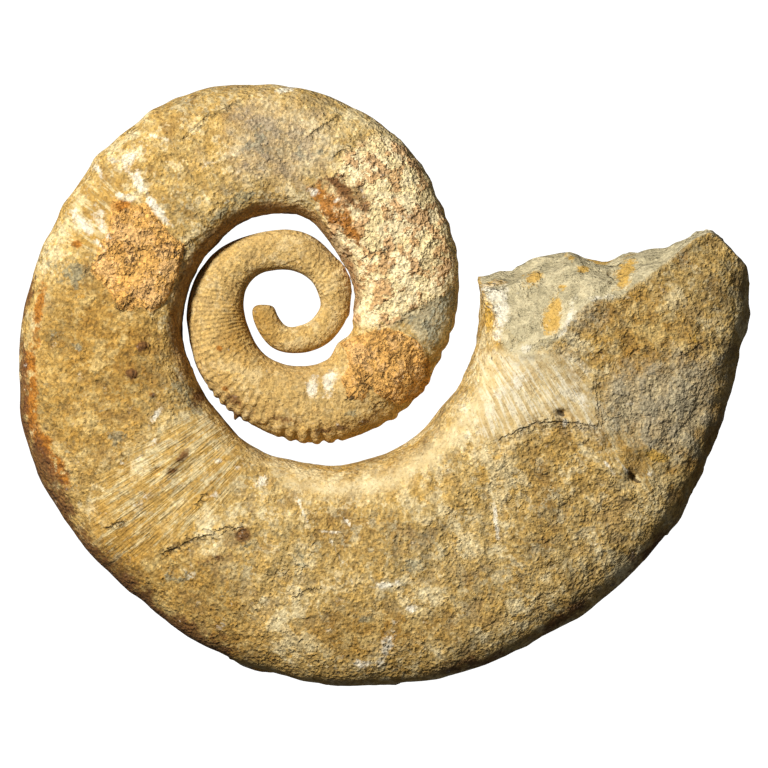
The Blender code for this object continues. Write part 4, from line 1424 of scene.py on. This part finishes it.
class FOSSIL_stone(bpy.types.PropertyGroup):
    """Heights and colours of the stone that a user would change."""
    rib_height: bpy.props.FloatProperty(
        name="Rib height", description="Height of the ribs, as a share of the real ones",
        default=1.0, min=0.0, max=2.0, subtype="FACTOR")
    crust_height: bpy.props.FloatProperty(
        name="Crust height", description="Height of the crusts, as a share of the real ones",
        default=1.0, min=0.0, max=2.0, subtype="FACTOR")
    roughness: bpy.props.FloatProperty(
        name="Roughness", description="How matt the stone is",
        default=STONE_ROUGHNESS, min=0.0, max=1.0, subtype="FACTOR")
    rusty_crust: bpy.props.FloatVectorProperty(
        name="Rusty crust", description="Colour of the crusts that are stained by iron",
        default=linear(USER_COLOURS["rusty_crust"]), size=3, min=0.0, max=1.0, subtype="COLOR")
    pale_crust: bpy.props.FloatVectorProperty(
        name="Pale crust", description="Colour of the pale crust on the inner whorl",
        default=linear(USER_COLOURS["pale_crust"]), size=3, min=0.0, max=1.0, subtype="COLOR")
    fresh_break: bpy.props.FloatVectorProperty(
        name="Break", description="Colour of the stone where the wide end broke off",
        default=linear(USER_COLOURS["fresh_break"]), size=3, min=0.0, max=1.0, subtype="COLOR")
    calcite: bpy.props.FloatVectorProperty(
        name="Calcite", description="Colour of the scraps of calcite",
        default=linear(USER_COLOURS["calcite"]), size=3, min=0.0, max=1.0, subtype="COLOR")


class FOSSIL_stage(bpy.types.PropertyGroup):
    """The camera's distance and the lights that a user would change."""
    view_distance: bpy.props.FloatProperty(
        name="View distance", description="How far the camera stands above the coil",
        default=SHEET_EYE * MM, min=1.0, max=10.0, unit="LENGTH")
    key_strength: bpy.props.FloatProperty(
        name="Key light", description="Power of the lamp at the upper left, in watts",
        default=KEY_STRENGTH, min=0.0, max=500.0)
    key_size: bpy.props.FloatProperty(
        name="Key size", description="Width of the lamp at the upper left",
        default=KEY_SIZE, min=0.01, max=5.0, unit="LENGTH")
    key_colour: bpy.props.FloatVectorProperty(
        name="Key colour", description="Colour of the lamp at the upper left",
        default=linear(KEY_COLOUR), size=3, min=0.0, max=1.0, subtype="COLOR")
    fill_strength: bpy.props.FloatProperty(
        name="Fill light", description="Brightness of the room's even light",
        default=FILL_STRENGTH, min=0.0, max=5.0)
    floor_glow: bpy.props.FloatProperty(
        name="Floor", description="Brightness of the floor",
        default=FLOOR_GLOW, min=0.0, max=5.0)


# ------------------------------------------------------------ the piece and stage

class FOSSIL_OT_coil(bpy.types.Operator):
    """Build the fossil coil, with its relief and its weathered limestone"""
    bl_idname = "fossil.coil"
    bl_label = "Fossil coil"

    def execute(self, context):
        finish = context.scene.fossil_stone
        points, *rest = coil_surface((finish.rib_height, finish.crust_height))
        mesh = make_mesh(PIECE, lay_down(points), *rest)
        piece = bpy.data.objects.new(PIECE, mesh)
        context.scene.collection.objects.link(piece)
        mesh.materials.append(ochre_limestone(finish))
        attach(piece, "root")
        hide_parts(NODE)
        return {"FINISHED"}


class FOSSIL_OT_stage(bpy.types.Operator):
    """Lay the pale floor and set the lamp and the camera"""
    bl_idname = "fossil.stage"
    bl_label = "Stage"

    def execute(self, context):
        settings = context.scene.fossil_stage
        lay_floor(context.scene, settings)
        light_stage(context.scene, settings)
        aim_camera(context.scene, settings)
        return {"FINISHED"}


class FOSSIL_PT_panel(bpy.types.Panel):
    """The fossil's settings and tools"""
    bl_idname = "FOSSIL_PT_panel"
    bl_label = "Fossil ammonite"
    bl_space_type = "VIEW_3D"
    bl_region_type = "UI"
    bl_category = "Fossil"

    def draw(self, context):
        for group, tool in ((context.scene.fossil_stone, FOSSIL_OT_coil),
                            (context.scene.fossil_stage, FOSSIL_OT_stage)):
            for name in type(group).__annotations__:
                self.layout.prop(group, name)
            self.layout.operator(tool.bl_idname)


def lay_floor(scene, settings):
    """A wide flat sheet at the frame's ground, from a grid of two by two points."""
    half = FLOOR_HALF_SIZE
    corners = [(x * half, y * half, 0.0) for x, y in ((-1, -1), (1, -1), (1, 1), (-1, 1))]
    mesh = bpy.data.meshes.new("floor")
    mesh.from_pydata(corners, [], [(0, 1, 2, 3)])
    mesh.materials.append(floor_finish(settings.floor_glow))
    floor = bpy.data.objects.new("floor", mesh)
    scene.collection.objects.link(floor)
    floor.visible_diffuse = False
    floor.visible_glossy = False


def light_stage(scene, settings):
    """One lamp from the upper left, about half way up, and even weak room light."""
    lamp = bpy.data.lights.new("key", "AREA")
    lamp.shape = "DISK"
    lamp.size = settings.key_size
    lamp.energy = settings.key_strength
    lamp.color = settings.key_colour
    key = bpy.data.objects.new("key", lamp)
    turn, lift = math.radians(KEY_DIRECTION), math.radians(KEY_LIFT)
    toward = Vector((math.cos(turn) * math.cos(lift), math.sin(turn) * math.cos(lift),
                     math.sin(lift)))
    toward = Matrix.Rotation(math.radians(REST_LEAN), 3, "Y") @ toward
    key.rotation_euler = toward.to_track_quat("Z", "Y").to_euler()
    key.location = toward * KEY_DISTANCE
    scene.collection.objects.link(key)
    world = bpy.data.worlds.new("room")
    world.use_nodes = True
    back = world.node_tree.nodes["Background"]
    back.inputs["Color"].default_value = (*linear(ROOM_COLOUR), 1.0)
    back.inputs["Strength"].default_value = settings.fill_strength
    scene.world = world
    scene.view_settings.view_transform = "Standard"


def aim_camera(scene, settings):
    """The camera looks square at the coil's plane, from above the sheet's middle."""
    lens = bpy.data.cameras.new("camera")
    lens.sensor_width = SENSOR_WIDTH
    frame_width = 2 * SHEET_MIDDLE[0] * SHEET_STEP * MM
    lens.lens = SENSOR_WIDTH * settings.view_distance / frame_width
    lens.clip_end = CAMERA_REACH
    camera = bpy.data.objects.new("camera", lens)
    lean = Matrix.Rotation(math.radians(REST_LEAN), 4, "Y")
    middle = Vector(((SHEET_MIDDLE[0] - SHEET_CENTRE[0]) * SHEET_STEP * MM,
                     (SHEET_CENTRE[1] - SHEET_MIDDLE[1]) * SHEET_STEP * MM,
                     settings.view_distance))
    camera.rotation_euler = lean.to_euler()
    camera.location = Vector(COIL_CENTRE) * MM + lean.to_3x3() @ middle
    scene.collection.objects.link(camera)
    scene.camera = camera


CLASSES = (FOSSIL_stone, FOSSIL_stage, FOSSIL_OT_coil, FOSSIL_OT_stage, FOSSIL_PT_panel)


def register():
    for each in CLASSES:
        bpy.utils.register_class(each)
    bpy.types.Scene.fossil_stone = bpy.props.PointerProperty(type=FOSSIL_stone)
    bpy.types.Scene.fossil_stage = bpy.props.PointerProperty(type=FOSSIL_stage)


def unregister():
    del bpy.types.Scene.fossil_stage
    del bpy.types.Scene.fossil_stone
    for each in reversed(CLASSES):
        bpy.utils.unregister_class(each)


def main():
    """Build the fossil and its stage."""
    register()
    bpy.ops.fossil.coil()
    bpy.ops.fossil.stage()


if __name__ == "__main__":
    main()
